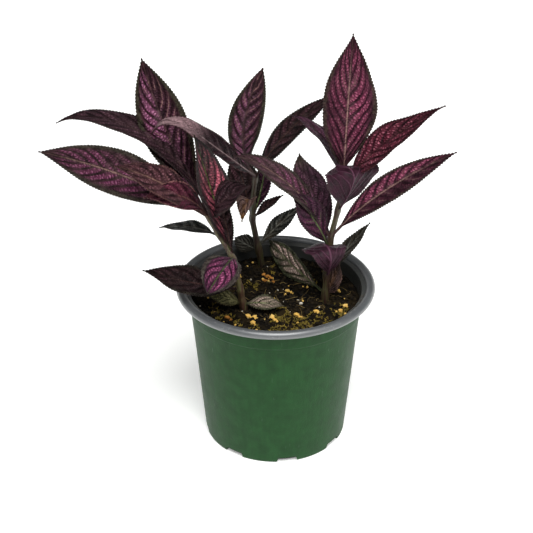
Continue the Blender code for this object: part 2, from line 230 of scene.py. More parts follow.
LEFT_STEM = Stem(
    "stem_left",
    (
        (-0.026, -0.022, 0.128),
        (-0.029, -0.024, 0.150),
        (-0.034, -0.029, 0.180),
        (-0.045, -0.030, 0.201),
        (-0.054, -0.030, 0.219),
    ),
    (
        Leaf("long_left", 0.217, 185, 26, 0.141, 0.037, 18, 16, -53, widest=0.51),
        Leaf("back_left", 0.215, 164, 31, 0.159, 0.028, 81, 34, -7, hook=14, widest=0.50),
        Leaf("tall_left", 0.217, 136, 57, 0.133, 0.039, 5, -12, -44, widest=0.54),
        Leaf("front_upright", 0.180, 182, 75, 0.110, 0.041, 1, -4, -28, widest=0.52),
        Leaf("red_left", 0.218, 206, 39, 0.094, 0.028, 15, 20, -45),
        Leaf("small_left", 0.218, 213, 32, 0.066, 0.022, 20, 60, -60),
        Leaf("dark_inner", 0.217, 330, 45, 0.052, 0.032, 30, 0, 40),
        Leaf("dark_petiole", 0.180, 180, 81, 0.062, 0.012, 10, 0, -90, widest=0.50),
        Leaf("low_grey", 0.200, 144, -10, 0.064, 0.016, 19, 19, -9),
        Leaf("bright_front", 0.178, 249, -2, 0.055, 0.030, 112, -18, -16, widest=0.61),
        Leaf("over_rim", 0.148, 190, 17, 0.082, 0.029, -10, -10, -28),
        Leaf("olive_low", 0.132, 199, 27, 0.035, 0.015, 23, 22, -42),
        Leaf("soil_leaf", 0.133, 348, 5, 0.035, 0.016, 30, 0, 20),
    ),
)

MIDDLE_STEM = Stem(
    "stem_middle",
    (
        (-0.012, 0.052, 0.128),
        (-0.016, 0.052, 0.150),
        (-0.020, 0.051, 0.172),
        (-0.019, 0.050, 0.195),
        (-0.017, 0.049, 0.215),
    ),
    (
        Leaf(
            "arching_left", 0.214, 230, 42, 0.156, 0.020, 28, -27, -61, 20,
            hook=113, hook_at=0.86,
        ),
        Leaf("upright", 0.214, 96, 110, 0.123, 0.029, 30, -58, 8, widest=0.60),
        Leaf("narrow_right", 0.211, 5, 49, 0.107, 0.020, 70, -7, 47),
        Leaf("dark_left", 0.174, 140, 72, 0.064, 0.028, 15, 0, -40),
        Leaf("dark_right", 0.174, 52, 67, 0.050, 0.015, 13, 14, 40, widest=0.58),
        Leaf("low_olive", 0.142, 147, 11, 0.027, 0.017, 39, -18, -43),
        Leaf("low_right", 0.146, 20, 40, 0.052, 0.015, 22, 0, 30),
        Leaf("folded_right", 0.174, 11, 36, 0.033, 0.011, 5, 0, 20, 25),
        Leaf("withered", 0.186, 258, 14, 0.048, 0.018, 101, 13, 0, 30),
    ),
)

RIGHT_STEM = Stem(
    "stem_right",
    (
        (0.041, -0.007, 0.128),
        (0.042, -0.007, 0.155),
        (0.044, -0.008, 0.186),
        (0.049, -0.010, 0.211),
        (0.053, -0.010, 0.238),
    ),
    (
        Leaf("tallest", 0.236, 81, 69, 0.119, 0.046, 34, -15, 26),
        Leaf("rough_right", 0.236, 359, 42, 0.103, 0.031, 36, 3, 24, widest=0.37),
        Leaf("upper_left", 0.236, 139, 41, 0.074, 0.026, 64, 6, 17),
        Leaf(
            "cupped_front", 0.213, 305, 67, 0.068, 0.049, -47, 4, -3, 4,
            hook=-105, hook_at=0.72, widest=0.62,
        ),
        Leaf("long_right", 0.187, 337, 44, 0.138, 0.022, 40, -12, 66, widest=0.52),
        Leaf("olive_right", 0.155, 15, 48, 0.054, 0.016, 0, 9, 10),
        Leaf("long_arch", 0.185, 194, 49, 0.118, 0.025, 45, 6, -31, hook=15, widest=0.54),
        Leaf("under_arch", 0.176, 212, 60, 0.070, 0.025, 15, 12, -80, widest=0.55),
        Leaf("broad_back", 0.186, 139, 60, 0.074, 0.035, -2, 11, -76, hook=30, widest=0.49),
        Leaf(
            "curled_front", 0.152, 280, 73, 0.084, 0.036, -85, 24, 9,
            hook=-108, hook_at=0.51, widest=0.60,
        ),
        Leaf("brown_low", 0.132, 27, 64, 0.031, 0.024, 7, 30, 6),
        Leaf("silver_low", 0.134, 123, 7, 0.088, 0.022, 7, -5, -67, widest=0.55),
    ),
)

STEMS = {stem.name: stem for stem in (LEFT_STEM, MIDDLE_STEM, RIGHT_STEM)}

LOOKS = {
    "magenta": Look(
        ground=(0.058, 0.014, 0.027),
        patch=(0.190, 0.037, 0.078),
        zone=(0.125, 0.062, 0.072),
        vein=(0.030, 0.006, 0.014),
        rib=(0.30, 0.17, 0.15),
        margin=(0.040, 0.026, 0.020),
        under=(0.045, 0.010, 0.030),
        under_vein=(0.080, 0.030, 0.055),
        lines=0.6,
        rib_reach=0.7,
    ),
    "mauve": Look(
        ground=(0.048, 0.024, 0.027),
        patch=(0.135, 0.030, 0.075),
        zone=(0.105, 0.058, 0.063),
        vein=(0.028, 0.010, 0.014),
        rib=(0.24, 0.14, 0.12),
        margin=(0.036, 0.030, 0.022),
        under=(0.070, 0.028, 0.042),
        under_vein=(0.12, 0.070, 0.075),
        border=0.17,
        lines=0.35,
        crest=0.15,
        painted_glint=0.8,
        rib_reach=0.8,
    ),
    "lilac": Look(
        ground=(0.050, 0.016, 0.024),
        patch=(0.220, 0.068, 0.138),
        zone=(0.150, 0.092, 0.105),
        vein=(0.018, 0.004, 0.009),
        rib=(0.26, 0.135, 0.125),
        margin=(0.033, 0.029, 0.018),
        under=(0.060, 0.020, 0.034),
        under_vein=(0.12, 0.060, 0.065),
        border=0.20,
        lines=0.55,
        crest=0.8,
        painted_glint=1.0,
        rib_reach=0.0,
    ),
    "red": Look(
        ground=(0.066, 0.013, 0.023),
        patch=(0.17, 0.026, 0.050),
        zone=(0.085, 0.030, 0.034),
        vein=(0.030, 0.005, 0.009),
        rib=(0.10, 0.035, 0.035),
        margin=(0.040, 0.012, 0.012),
        under=(0.060, 0.014, 0.026),
        under_vein=(0.11, 0.040, 0.050),
        border=0.08,
        lines=0.35,
        crest=0.1,
        painted_glint=1.7,
        pucker=2.2,
        rib_reach=0.3,
    ),
    "dusty": Look(
        ground=(0.075, 0.030, 0.035),
        patch=(0.125, 0.042, 0.055),
        zone=(0.12, 0.062, 0.062),
        vein=(0.036, 0.010, 0.013),
        rib=(0.26, 0.14, 0.11),
        margin=(0.110, 0.050, 0.046),
        under=(0.060, 0.014, 0.026),
        under_vein=(0.11, 0.040, 0.050),
        border=0.06,
        lines=0.4,
        crest=0.3,
        painted_glint=1.0,
        pucker=1.5,
        rib_reach=0.8,
    ),
    "blush": Look(
        ground=(0.075, 0.014, 0.028),
        patch=(0.15, 0.026, 0.056),
        zone=(0.085, 0.030, 0.034),
        vein=(0.036, 0.008, 0.012),
        rib=(0.17, 0.075, 0.065),
        margin=(0.26, 0.12, 0.11),
        under=(0.060, 0.014, 0.026),
        under_vein=(0.11, 0.040, 0.050),
        border=0.05,
        lines=0.5,
        rib_reach=0.8,
    ),
    "bright": Look(
        ground=(0.062, 0.018, 0.040),
        patch=(0.220, 0.048, 0.118),
        zone=(0.090, 0.050, 0.075),
        vein=(0.036, 0.010, 0.024),
        rib=(0.075, 0.100, 0.035),
        margin=(0.052, 0.046, 0.036),
        under=(0.045, 0.010, 0.030),
        under_vein=(0.080, 0.030, 0.055),
        border=0.22,
        lines=0.75,
        crest=0.0,
        painted_glint=0.5,
        rib_reach=0.95,
    ),
    # Its coral patches are partly the leaf's colour and partly a painted glossy highlight.
    "coral": Look(
        ground=(0.060, 0.019, 0.026),
        patch=(0.40, 0.085, 0.125),
        zone=(0.024, 0.022, 0.023),
        vein=(0.050, 0.010, 0.015),
        rib=(0.13, 0.17, 0.040),
        margin=(0.026, 0.022, 0.020),
        under=(0.070, 0.020, 0.034),
        under_vein=(0.12, 0.10, 0.05),
        lines=0.25,
        crest=0.1,
        painted_glint=1.1,
        rib_reach=0.75,
    ),
    # Its pale zone colour is the painted sheen laid over the hooked tip of arching_left.
    "ash": Look(
        ground=(0.014, 0.003, 0.006),
        patch=(0.046, 0.012, 0.020),
        zone=(0.30, 0.185, 0.20),
        vein=(0.030, 0.011, 0.016),
        rib=(0.42, 0.30, 0.30),
        margin=(0.040, 0.014, 0.016),
        under=(0.020, 0.006, 0.010),
        under_vein=(0.045, 0.020, 0.024),
        border=0.10,
        lines=0.2,
        crest=0.15,
        painted_glint=0.6,
        metal=0.1,
    ),
    "dark": Look(
        ground=(0.024, 0.012, 0.012),
        patch=(0.058, 0.018, 0.028),
        zone=(0.040, 0.032, 0.030),
        vein=(0.012, 0.004, 0.006),
        rib=(0.075, 0.035, 0.032),
        margin=(0.018, 0.015, 0.011),
        under=(0.030, 0.011, 0.018),
        under_vein=(0.060, 0.032, 0.035),
        lines=0.5,
        painted_glint=0.6,
    ),
    "dull": Look(
        ground=(0.036, 0.016, 0.020),
        patch=(0.062, 0.024, 0.036),
        zone=(0.095, 0.055, 0.064),
        vein=(0.022, 0.008, 0.011),
        rib=(0.085, 0.045, 0.045),
        margin=(0.028, 0.017, 0.016),
        under=(0.046, 0.024, 0.030),
        under_vein=(0.075, 0.045, 0.050),
        border=0.10,
        lines=0.3,
        crest=0.2,
        painted_glint=0.5,
        metal=0.2,
    ),
    "purple": Look(
        ground=(0.062, 0.024, 0.042),
        patch=(0.115, 0.036, 0.072),
        zone=(0.075, 0.058, 0.042),
        vein=(0.032, 0.010, 0.018),
        rib=(0.060, 0.026, 0.036),
        margin=(0.034, 0.018, 0.020),
        under=(0.036, 0.012, 0.024),
        under_vein=(0.070, 0.032, 0.050),
        border=0.06,
        lines=0.35,
        crest=0.15,
        painted_glint=0.5,
        metal=0.2,
    ),
    "violet": Look(
        ground=(0.036, 0.010, 0.024),
        patch=(0.090, 0.018, 0.052),
        zone=(0.075, 0.038, 0.054),
        vein=(0.016, 0.004, 0.010),
        rib=(0.14, 0.19, 0.070),
        margin=(0.040, 0.020, 0.024),
        under=(0.019, 0.004, 0.010),
        under_vein=(0.070, 0.024, 0.044),
        border=0.08,
        lines=0.45,
        painted_glint=0.5,
        rib_reach=0.75,
    ),
    "olive": Look(
        ground=(0.125, 0.118, 0.050),
        patch=(0.175, 0.160, 0.078),
        zone=(0.060, 0.058, 0.024),
        vein=(0.046, 0.044, 0.020),
        rib=(0.22, 0.21, 0.10),
        margin=(0.060, 0.050, 0.026),
        under=(0.080, 0.066, 0.040),
        under_vein=(0.13, 0.12, 0.070),
        lines=0.6,
        painted_glint=0.4,
        metal=0.0,
    ),
    # Its patches are painted lighter than the leaf's colour: painted light against the shade of
    # leaves over silver_low.
    "silver": Look(
        ground=(0.115, 0.110, 0.064),
        patch=(0.50, 0.36, 0.31),
        zone=(0.30, 0.24, 0.18),
        vein=(0.045, 0.046, 0.026),
        rib=(0.16, 0.19, 0.080),
        margin=(0.052, 0.058, 0.030),
        under=(0.080, 0.066, 0.050),
        under_vein=(0.15, 0.13, 0.090),
        border=0.20,
        lines=0.7,
        crest=0.0,
        painted_glint=0.6,
        metal=0.2,
    ),
    "grey": Look(
        ground=(0.022, 0.024, 0.021),
        patch=(0.060, 0.060, 0.052),
        zone=(0.095, 0.072, 0.048),
        vein=(0.012, 0.014, 0.011),
        rib=(0.17, 0.17, 0.145),
        margin=(0.018, 0.018, 0.014),
        under=(0.070, 0.060, 0.050),
        under_vein=(0.13, 0.12, 0.10),
        border=0.10,
        crest=1.0,
        painted_glint=0.3,
        rib_reach=0.9,
        metal=0.0,
    ),
    "withered": Look(
        ground=(0.12, 0.072, 0.066),
        patch=(0.21, 0.13, 0.115),
        zone=(0.42, 0.20, 0.045),
        vein=(0.040, 0.018, 0.016),
        rib=(0.20, 0.11, 0.070),
        margin=(0.10, 0.055, 0.045),
        under=(0.15, 0.085, 0.072),
        under_vein=(0.08, 0.040, 0.034),
        crest=0.4,
        painted_glint=0.2,
        metal=0.0,
    ),
}

DRESSES = {
    "long_left": Dress(
        "mauve", 0.8, 0.75, 1.0, 0.6,
        spots=((0.42, -0.5, 0.16, 0.6), (0.52, 0.45, 0.12, 0.5), (0.25, -0.4, 0.14, 0.4)),
    ),
    "back_left": Dress("dull", 0.5, 0.5),
    # Its right half is painted dark: painted shade where arching_left shades it.
    "tall_left": Dress(
        "lilac", 0.75, 0.05, 0.9, 0.7,
        spots=((0.58, 0.45, 0.13, 1.0), (0.33, 0.2, 0.12, 0.6), (0.50, -0.4, 0.12, 0.4)),
    ),
    # The strong spot on its right half is partly a painted glossy highlight on the coral patches.
    "front_upright": Dress(
        "coral", 0.40, 0.25, 1.0, 0.7, haze=0.95, tint_and_sheen_at=0.74,
        spots=((0.55, -0.55, 0.15, 2.4), (0.50, 0.5, 0.12, 0.3)),
    ),
    "red_left": Dress("dusty", 0.6, 0.5, 1.0, 0.8),
    "small_left": Dress("blush", 0.5, 0.4, 0.8, 0.9),
    "dark_inner": Dress("dull", 0.3, 0.3, under_base=0.6, under_tip=0.8),
    "dark_petiole": Dress("dark", 0.4, 0.4, 1.0, 0.3),
    "low_grey": Dress("grey", 0.6, 0.6),
    "bright_front": Dress(
        "bright", 1.1, 0.35, 1.1, 0.8, spots=((0.55, 0.5, 0.20, 0.6), (0.6, -0.5, 0.16, 0.2)),
    ),
    "over_rim": Dress("dark", 0.3, 0.3, -0.6, 1.6),
    "olive_low": Dress("olive", 1.0, 0.8),
    "soil_leaf": Dress("silver", 0.30, 0.45, haze=0.6, tint_and_sheen_at=0.0),
    # The pale colour laid over its hooked tip is a painted sheen.
    "arching_left": Dress("ash", 0.4, 0.4, 0.8, 0.2, haze=1.0, tint_and_sheen_at=0.68),
    "upright": Dress(
        "lilac", 1.0, 0.35, 1.0, 0.6, spots=((0.35, 0.5, 0.14, 0.8), (0.4, -0.5, 0.14, 0.3)),
    ),
    "narrow_right": Dress("dark", 0.4, 0.3),
    "dark_left": Dress("dark", 0.5, 0.5),
    "dark_right": Dress("violet", 0.4, 0.4),
    "low_olive": Dress("grey", 0.3, 0.3, haze=0.3, tint_and_sheen_at=0.0),
    "low_right": Dress("grey", 0.8, 0.5, haze=-0.7, tint_and_sheen_at=0.35),
    "folded_right": Dress("dark", 0.2, 0.2),
    "withered": Dress("withered", 0.8, 0.8, haze=0.9, tint_and_sheen_at=0.86),
    "tallest": Dress(
        "magenta", 0.50, 0.65, 0.6, 1.0,
        spots=((0.55, -0.5, 0.14, 0.4), (0.42, 0.45, 0.10, 0.3), (0.72, -0.4, 0.10, 0.5)),
    ),
    "rough_right": Dress("red", 0.95, 0.9, 1.3, 0.2),
    "upper_left": Dress("purple", 0.5, 0.8, 0.6, 1.0),
    "cupped_front": Dress("violet", 0.5, 0.5, under_base=1.0, under_tip=1.3),
    # Its right half, which faces down, is painted dark: painted shade.
    "long_right": Dress(
        "magenta", 0.8, 0.1, 0.7, 0.8, spots=((0.55, 0.5, 0.14, 0.5), (0.40, 0.4, 0.10, 0.3)),
    ),
    "olive_right": Dress("grey", 0.3, 0.3, haze=0.5, tint_and_sheen_at=0.0),
    "long_arch": Dress(
        "mauve", 0.3, 0.7, 1.1, 0.3, haze=0.5, tint_and_sheen_at=0.45, spots=((0.40, -0.4, 0.14, 0.6),),
    ),
    "under_arch": Dress("violet", 0.5, 0.5, haze=0.2, tint_and_sheen_at=0.4),
    "broad_back": Dress("purple", 0.9, 0.4, 1.2, 0.3, haze=0.9, tint_and_sheen_at=0.86),
    "curled_front": Dress("violet", 0.9, 0.9, under_base=1.0, under_tip=1.5),
    "brown_low": Dress("withered", 0.3, 0.3, under_base=0.5, under_tip=0.5),
    "silver_low": Dress(
        "silver", 0.35, 1.5, 1.1, 0.9, spots=((0.45, -0.35, 0.16, 0.9), (0.7, -0.3, 0.1, 0.4)),
    ),
}


class PotSettings(bpy.types.PropertyGroup):
    """Colours of the pot, and how finely it is turned."""

    wall: bpy.props.FloatVectorProperty(
        name="Wall", description="Colour of the outer wall", default=(0.0082, 0.046, 0.0105),
        subtype="COLOR", min=0.0, max=1.0,
    )
    lip: bpy.props.FloatVectorProperty(
        name="Lip", description="Colour of the rolled lip", default=(0.060, 0.065, 0.069),
        subtype="COLOR", min=0.0, max=1.0,
    )
    inside: bpy.props.FloatVectorProperty(
        name="Inside", description="Colour of the inner wall", default=(0.034, 0.036, 0.034),
        subtype="COLOR", min=0.0, max=1.0,
    )
    sides: bpy.props.IntProperty(
        name="Sides", description="Faces round the turned pot", default=192, min=48, max=384,
    )


class SoilSettings(bpy.types.PropertyGroup):
    """Colours of the soil and of what lies on it, and how finely they are made."""

    earth: bpy.props.FloatVectorProperty(
        name="Earth", description="Colour of the potting mix", default=(0.003, 0.0022, 0.0013),
        subtype="COLOR", min=0.0, max=1.0,
    )
    moss: bpy.props.FloatVectorProperty(
        name="Moss", description="Colour of the moss", default=(0.115, 0.088, 0.017),
        subtype="COLOR", min=0.0, max=1.0,
    )
    bark: bpy.props.FloatVectorProperty(
        name="Bark", description="Colour of the golden bits", default=(0.62, 0.37, 0.080),
        subtype="COLOR", min=0.0, max=1.0,
    )
    orange: bpy.props.FloatVectorProperty(
        name="Orange bits", description="Colour of the orange bits",
        default=(0.54, 0.24, 0.045), subtype="COLOR", min=0.0, max=1.0,
    )
    white: bpy.props.FloatVectorProperty(
        name="White grains", description="Colour of the white grains",
        default=(0.74, 0.69, 0.58), subtype="COLOR", min=0.0, max=1.0,
    )
    crumbs: bpy.props.IntProperty(
        name="Crumbs", description="Crumbs of soil on the surface", default=1900, min=0,
    )
    rings: bpy.props.IntProperty(
        name="Rings", description="Rings of faces over the soil's top", default=80, min=10,
    )


class LeafSettings(bpy.types.PropertyGroup):
    """Sizes of the fine forms that every leaf shares."""

    blade: bpy.props.FloatProperty(
        name="Blade", description="Thickness of the blade", default=0.0004, unit="LENGTH",
    )
    tooth_pitch: bpy.props.FloatProperty(
        name="Tooth pitch", description="Distance between teeth", default=0.0024,
        unit="LENGTH",
    )
    tooth_depth: bpy.props.FloatProperty(
        name="Tooth depth", description="Depth of a tooth", default=0.0009, unit="LENGTH",
    )
    vein_pitch: bpy.props.FloatProperty(
        name="Vein pitch", description="Distance between side veins", default=0.0138,
        unit="LENGTH",
    )
    quilt: bpy.props.FloatProperty(
        name="Quilt", description="How far the blade swells between veins", default=0.0010,
        unit="LENGTH",
    )
    columns: bpy.props.IntProperty(
        name="Columns", description="Faces across a blade", default=36, min=8, max=96,
    )


class StageSettings(bpy.types.PropertyGroup):
    """Camera, lights and floor."""

    lens: bpy.props.FloatProperty(
        name="Lens", description="Focal length", default=89.70, subtype="DISTANCE_CAMERA",
    )
    camera: bpy.props.FloatVectorProperty(
        name="Camera", description="Place of the camera", default=(0.0, -0.95118, 0.69450),
        subtype="TRANSLATION", unit="LENGTH",
    )
    pitch: bpy.props.FloatProperty(
        name="Pitch", description="How far the camera looks down",
        default=math.radians(29.537), subtype="ANGLE",
    )
    yaw: bpy.props.FloatProperty(
        name="Yaw", description="How far the camera turns to its left",
        default=math.radians(0.451), subtype="ANGLE",
    )
    key: bpy.props.FloatProperty(
        name="Key", description="Strength of the key light", default=3.9, min=0.0,
    )
    fill: bpy.props.FloatProperty(
        name="Fill", description="Strength of the fill light", default=4.0, unit="POWER",
    )
    sky: bpy.props.FloatProperty(
        name="Sky", description="Strength of the soft light all round", default=0.17, min=0.0,
    )
    floor: bpy.props.FloatVectorProperty(
        name="Floor", description="Colour of the floor", default=(0.97, 0.98, 0.96),
        subtype="COLOR", min=0.0, max=1.0,
    )
    glow: bpy.props.FloatProperty(
        name="Glow", description="Strength of the floor's own light", default=0.27, min=0.0,
    )


class Finish:
    """A material and short ways to add nodes to it."""

    def __init__(self, name, roughness=0.5):
        self.material = bpy.data.materials.new(name)
        self.material.use_nodes = True
        self.tree = self.material.node_tree
        self.shader = self.tree.nodes["Principled BSDF"]
        self.shader.inputs["Roughness"].default_value = roughness

    def feed(self, socket, value):
        """Link an output to a socket, or set the socket to a number or a colour."""
        if isinstance(value, bpy.types.NodeSocket):
            self.tree.links.new(value, socket)
        elif hasattr(value, "__len__") and len(value) == 3 and socket.type == "RGBA":
            socket.default_value = (*value, 1.0)
        else:
            socket.default_value = value

    def node(self, kind, inputs=(), **settings):
        """Add a node with its settings, and feed its inputs, given by name or number."""
        node = self.tree.nodes.new(kind)
        for key, value in settings.items():
            setattr(node, key, value)
        for key, value in dict(inputs).items():
            self.feed(node.inputs[key], value)
        return node

    def set(self, name, value):
        """Feed one of the shader's own sockets."""
        self.feed(self.shader.inputs[name], value)

    def position(self):
        """Return the place on the object, in metres."""
        return self.node("ShaderNodeTexCoord").outputs["Object"]

    def squeezed(self, rise):
        """Return the place with its height scaled, for patterns that run up and down."""
        inputs = {"Vector": self.position(), "Scale": (1.0, 1.0, rise)}
        return self.node("ShaderNodeMapping", inputs).outputs[0]

    def attribute(self, name):
        """Return a number that the mesh carries."""
        return self.node("ShaderNodeAttribute", attribute_name=name).outputs["Fac"]

    def math(self, operation, first, second=0.0, clamp=False):
        """Return the result of a sum on two numbers."""
        inputs = {0: first, 1: second}
        return self.node("ShaderNodeMath", inputs, operation=operation, use_clamp=clamp).outputs[0]

    def times(self, first, second, clamp=False):
        """Return the product of two numbers."""
        return self.math("MULTIPLY", first, second, clamp)

    def plus(self, first, second):
        """Return the sum of two numbers."""
        return self.math("ADD", first, second)

    def step(self, value, low, high, start=0.0, end=1.0):
        """Return a smooth step of a value, start at low and end at high."""
        inputs = {
            "Value": value, "From Min": low, "From Max": high, "To Min": start, "To Max": end,
        }
        return self.node(
            "ShaderNodeMapRange", inputs, interpolation_type="SMOOTHSTEP", clamp=True
        ).outputs[0]

    def spread(self, value, low, high):
        """Return a value from 0 to 1 spread between two numbers."""
        inputs = {"Value": value, "To Min": low, "To Max": high}
        return self.node("ShaderNodeMapRange", inputs, clamp=True).outputs[0]

    def mix(self, share, first, second):
        """Return the mix of two colours."""
        inputs = {0: share, 6: first, 7: second}
        return self.node("ShaderNodeMix", inputs, data_type="RGBA").outputs[2]

    def dim(self, colour, factor):
        """Return a colour made darker or lighter by a factor."""
        inputs = {0: colour, "Scale": factor}
        return self.node("ShaderNodeVectorMath", inputs, operation="SCALE").outputs[0]

    def clouds(self, scale, detail=3.0, place=None):
        """Return soft noise from 0 to 1, of a scale per metre."""
        inputs = {
            "Vector": place or self.position(),
            "Scale": scale,
            "Detail": detail,
            "Roughness": CLOUD_ROUGHNESS,
        }
        return self.node("ShaderNodeTexNoise", inputs).outputs["Fac"]

    def cells(self, place, feature="F1"):
        """Return the distance from the middle of a cell of unit size, or from its edge."""
        inputs = {"Vector": place, "Scale": 1.0, "Randomness": CELL_RANDOMNESS}
        return self.node("ShaderNodeTexVoronoi", inputs, feature=feature).outputs["Distance"]

    def bump(self, height, distance, strength=1.0):
        """Raise the surface by a height."""
        inputs = {"Height": height, "Distance": distance, "Strength": strength}
        self.set("Normal", self.node("ShaderNodeBump", inputs).outputs[0])


def finish_piece(name, shape, materials, node=None, sharp=None):
    """Turn a bmesh into a piece of the plant that rides on the frame."""
    mesh = bpy.data.meshes.new(name)
    shape.to_mesh(mesh)
    shape.free()
    for material in materials:
        mesh.materials.append(material)
    mesh.shade_smooth()
    if sharp is not None:
        mesh.set_sharp_from_angle(angle=math.radians(sharp))
    piece = bpy.data.objects.new(name, mesh)
    bpy.context.scene.collection.objects.link(piece)
    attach(piece, BODY)
    if node is not None:
        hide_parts(node)
    return piece


class Pile:
    """Many small shapes gathered into one bmesh, a chunk at a time to keep it quick."""

    CHUNK = 40

    def __init__(self):
        self.whole = bmesh.new()
        self.part = bmesh.new()
        self.count = 0

    def next(self):
        """Return the bmesh that the next small shape goes into."""
        self.count += 1
        if self.count % self.CHUNK == 0:
            self.gather()
        return self.part

    def gather(self):
        """Move the chunk into the whole, and return the whole."""
        bmesh.ops.recalc_face_normals(self.part, faces=self.part.faces)
        mesh = bpy.data.meshes.new("chunk")
        self.part.to_mesh(mesh)
        self.whole.from_mesh(mesh)
        bpy.data.meshes.remove(mesh)
        self.part.clear()
        return self.whole


def turned(section, sides):
    """Return a bmesh of a section turned once round the pot's axis, with its seam closed."""
    shape = bmesh.new()
    verts = [shape.verts.new((radius, 0.0, height)) for radius, height in section]
    edges = [shape.edges.new(pair) for pair in zip(verts, verts[1:])]
    bmesh.ops.spin(
        shape, geom=verts + edges, cent=(0.0, 0.0, 0.0), axis=(0.0, 0.0, 1.0),
        dvec=(0.0, 0.0, 0.0), angle=2.0 * math.pi, steps=sides, use_merge=True,
        use_duplicate=False,
    )
    bmesh.ops.remove_doubles(shape, verts=shape.verts, dist=MERGE_DISTANCE)
    bmesh.ops.recalc_face_normals(shape, faces=shape.faces)
    return shape


def ease(share):
    """Return 0 to 1 along a smooth step."""
    share = min(max(share, 0.0), 1.0)
    return share * share * (3.0 - 2.0 * share)


def direction(azimuth, rise):
    """Return the unit vector at an azimuth from +X and a rise above level."""
    flat = math.cos(math.radians(rise))
    return Vector(
        (
            flat * math.cos(math.radians(azimuth)),
            flat * math.sin(math.radians(azimuth)),
            math.sin(math.radians(rise)),
        )
    )


def point_on_stem(stem, height):
    """Return the point of a stem's route at a height."""
    points = [Vector(point) for point in stem.route]
    for lower, upper in zip(points, points[1:]):
        if height <= upper.z:
            share = (height - lower.z) / (upper.z - lower.z)
            return lower.lerp(upper, max(share, 0.0))
    return points[-1].copy()


# Leaves

LEAF_NUMBERS = ("across", "along", "vein", "row", "rib_gap", "glow", "haze", "pale")
LEAF_ROWS_PER_TOOTH = 4
LEAST_TEETH = 6
TOOTH_EDGE_POWER = 8
LEAST_COLUMNS = 16
FULL_COLUMNS_WIDTH = 0.040
COLUMN_CROWDING = 1.25
RIB_RISE = 0.0007
RIB_WIDTH = 0.0009
RIB_TAPER = 0.8
PETIOLE_EDGE = 0.02
CROWN_HEIGHT = 0.05
EDGE_RIPPLE = 0.0007
RIPPLE_SCALE = 95.0
SEED_SCALE = 1000.0
QUILT_POWER = 0.7
QUILT_RIB_REACH = 0.12
QUILT_EDGE_START = 0.72
QUILT_EDGE_REACH = 0.28
QUILT_TIP_POWER = 4
QUILT_FULL_HALF_WIDTH = 0.012
VEIN_LEAN = 0.58
VEIN_ARCH = 0.44
VEIN_SHIFT = 0.38
VEIN_SHIFT_REACH = 0.16
VEIN_UNEVEN = 0.17
VEIN_WAVES = 2.3
LEAST_VEINS = 5
ROW_PITCH = 0.0021
ROW_SLANT = math.radians(32.0)
SIDE_BLEND = 4.0
SPOT_BREADTH = 2.5
TINT_AND_SHEEN_SPREAD = 0.24
MILLIMETRE = 0.001

# How leaves are painted. A scale is how many waves of noise lie on a metre. Two or four
# numbers are a step from a low to a high value, with what it gives there where that isn't
# 0 and 1, or the two ends that a value is spread between.
DRIFT_SCALE = 130.0
VEIN_DRIFT = 0.20
BUMPS_PER_VEIN = 1.7
BUMP_SHIFT_SCALE = 0.8
BUMP_CREASE = (0.0, 0.25)
ROUGH_EDGE_SCALE = 260.0
ROUGH_EDGE = 0.07
PATCH_BAND = (0.08, 0.30)
PATCH_OUTER_NONE = 0.98
PATCH_OUTER_FULL = 0.74
PATCH_BASE = (0.12, 0.26)
PATCH_TIP = (0.99, 0.82)
UNEVEN_SCALE = 58.0
PATCH_UNEVEN = (0.34, 0.62, 0.25, 1.35)
PATCH_RIB_GAP = (0.5, 2.2)
# Painted light and shade: the patches are painted lighter on their bumps' tops and darker in the
# creases.
PATCH_BUMP_LIGHT_AND_SHADE = (0.65, 2.2)
GROUND_SCALE = 150.0
GROUND_MOTTLE = (0.32, 0.66, 0.4, 1.6)
GROUND_TINT_AND_SHADE = (0.5, 0.92)
ZONE_SCALE = 80.0
ZONE_BLOTS = (0.36, 0.60, 0.1, 0.8)
ZONE_ACROSS = (0.42, 0.10)
ZONE_ALONG = (0.95, 0.5)
# Painted highlights on the crests between the side veins, in the midrib's pale colour.
CREST_HIGHLIGHT_SCALE = 90.0
CREST_HIGHLIGHT_BLOTS = (0.40, 0.62)
CREST_HIGHLIGHT_GAP = (0.36, 0.49)
CREST_HIGHLIGHT_ACROSS = (0.85, 0.5)
# Painted glints: a paler colour laid on the tops of the small bumps of the patches, as highlights.
PAINTED_GLINT_BUMPS = (0.36, 0.74)
PAINTED_GLINT_STRENGTH = 0.6
PAINTED_GLINT_LEAST = 0.08
PAINTED_GLINT_GAIN = 1.7
LINE_SCALE = 75.0
LINE_BREAKS = (0.36, 0.6, 0.3, 1.0)
LINE_GAP = (0.19, 0.05)
LINE_ACROSS = (1.0, 0.6, 0.25, 1.0)
MARGIN_SCALE = 330.0
MARGIN_MOTTLE = (0.3, 0.7, 0.6, 1.7)
RIM_ROUGHNESS = 0.09
RIM_START = 0.94
RIM_FULL = 1.04
RIM_STRENGTH = 0.85
RIB_GAP = (0.80, 0.30)
RIB_FADE = 0.2
RIB_STRENGTH = (0.12, 0.85)
PETIOLE_ALONG = (0.18, 0.08, 0.0, 0.75)
PETIOLE_TONE = 0.55
UPPER_ROUGHNESS = (0.50, 0.34)
UPPER_SPECULAR = 0.14
UPPER_GRAIN_SCALE = 1400.0
UPPER_BUMP = 0.0022
PUCKER_SHARE = 0.7
GRAIN_SHARE = 0.25
UNDER_GAP = (0.12, 0.02)
UNDER_ACROSS = (1.0, 0.7)
UNDER_RIB_GAP = (1.0, 0.4)
UNDER_LINE_SHARE = 0.8
UNDER_MOTTLE = (0.3, 0.7, 0.5, 1.5)
UNDER_RIM = (0.90, 0.98)
UNDER_RIM_STRENGTH = 0.6
UNDER_SPECULAR = 0.2
UNDER_VEIN_RISE = 1.5
UNDER_GRAIN_SCALE = 700.0
UNDER_BUMP = 0.0006


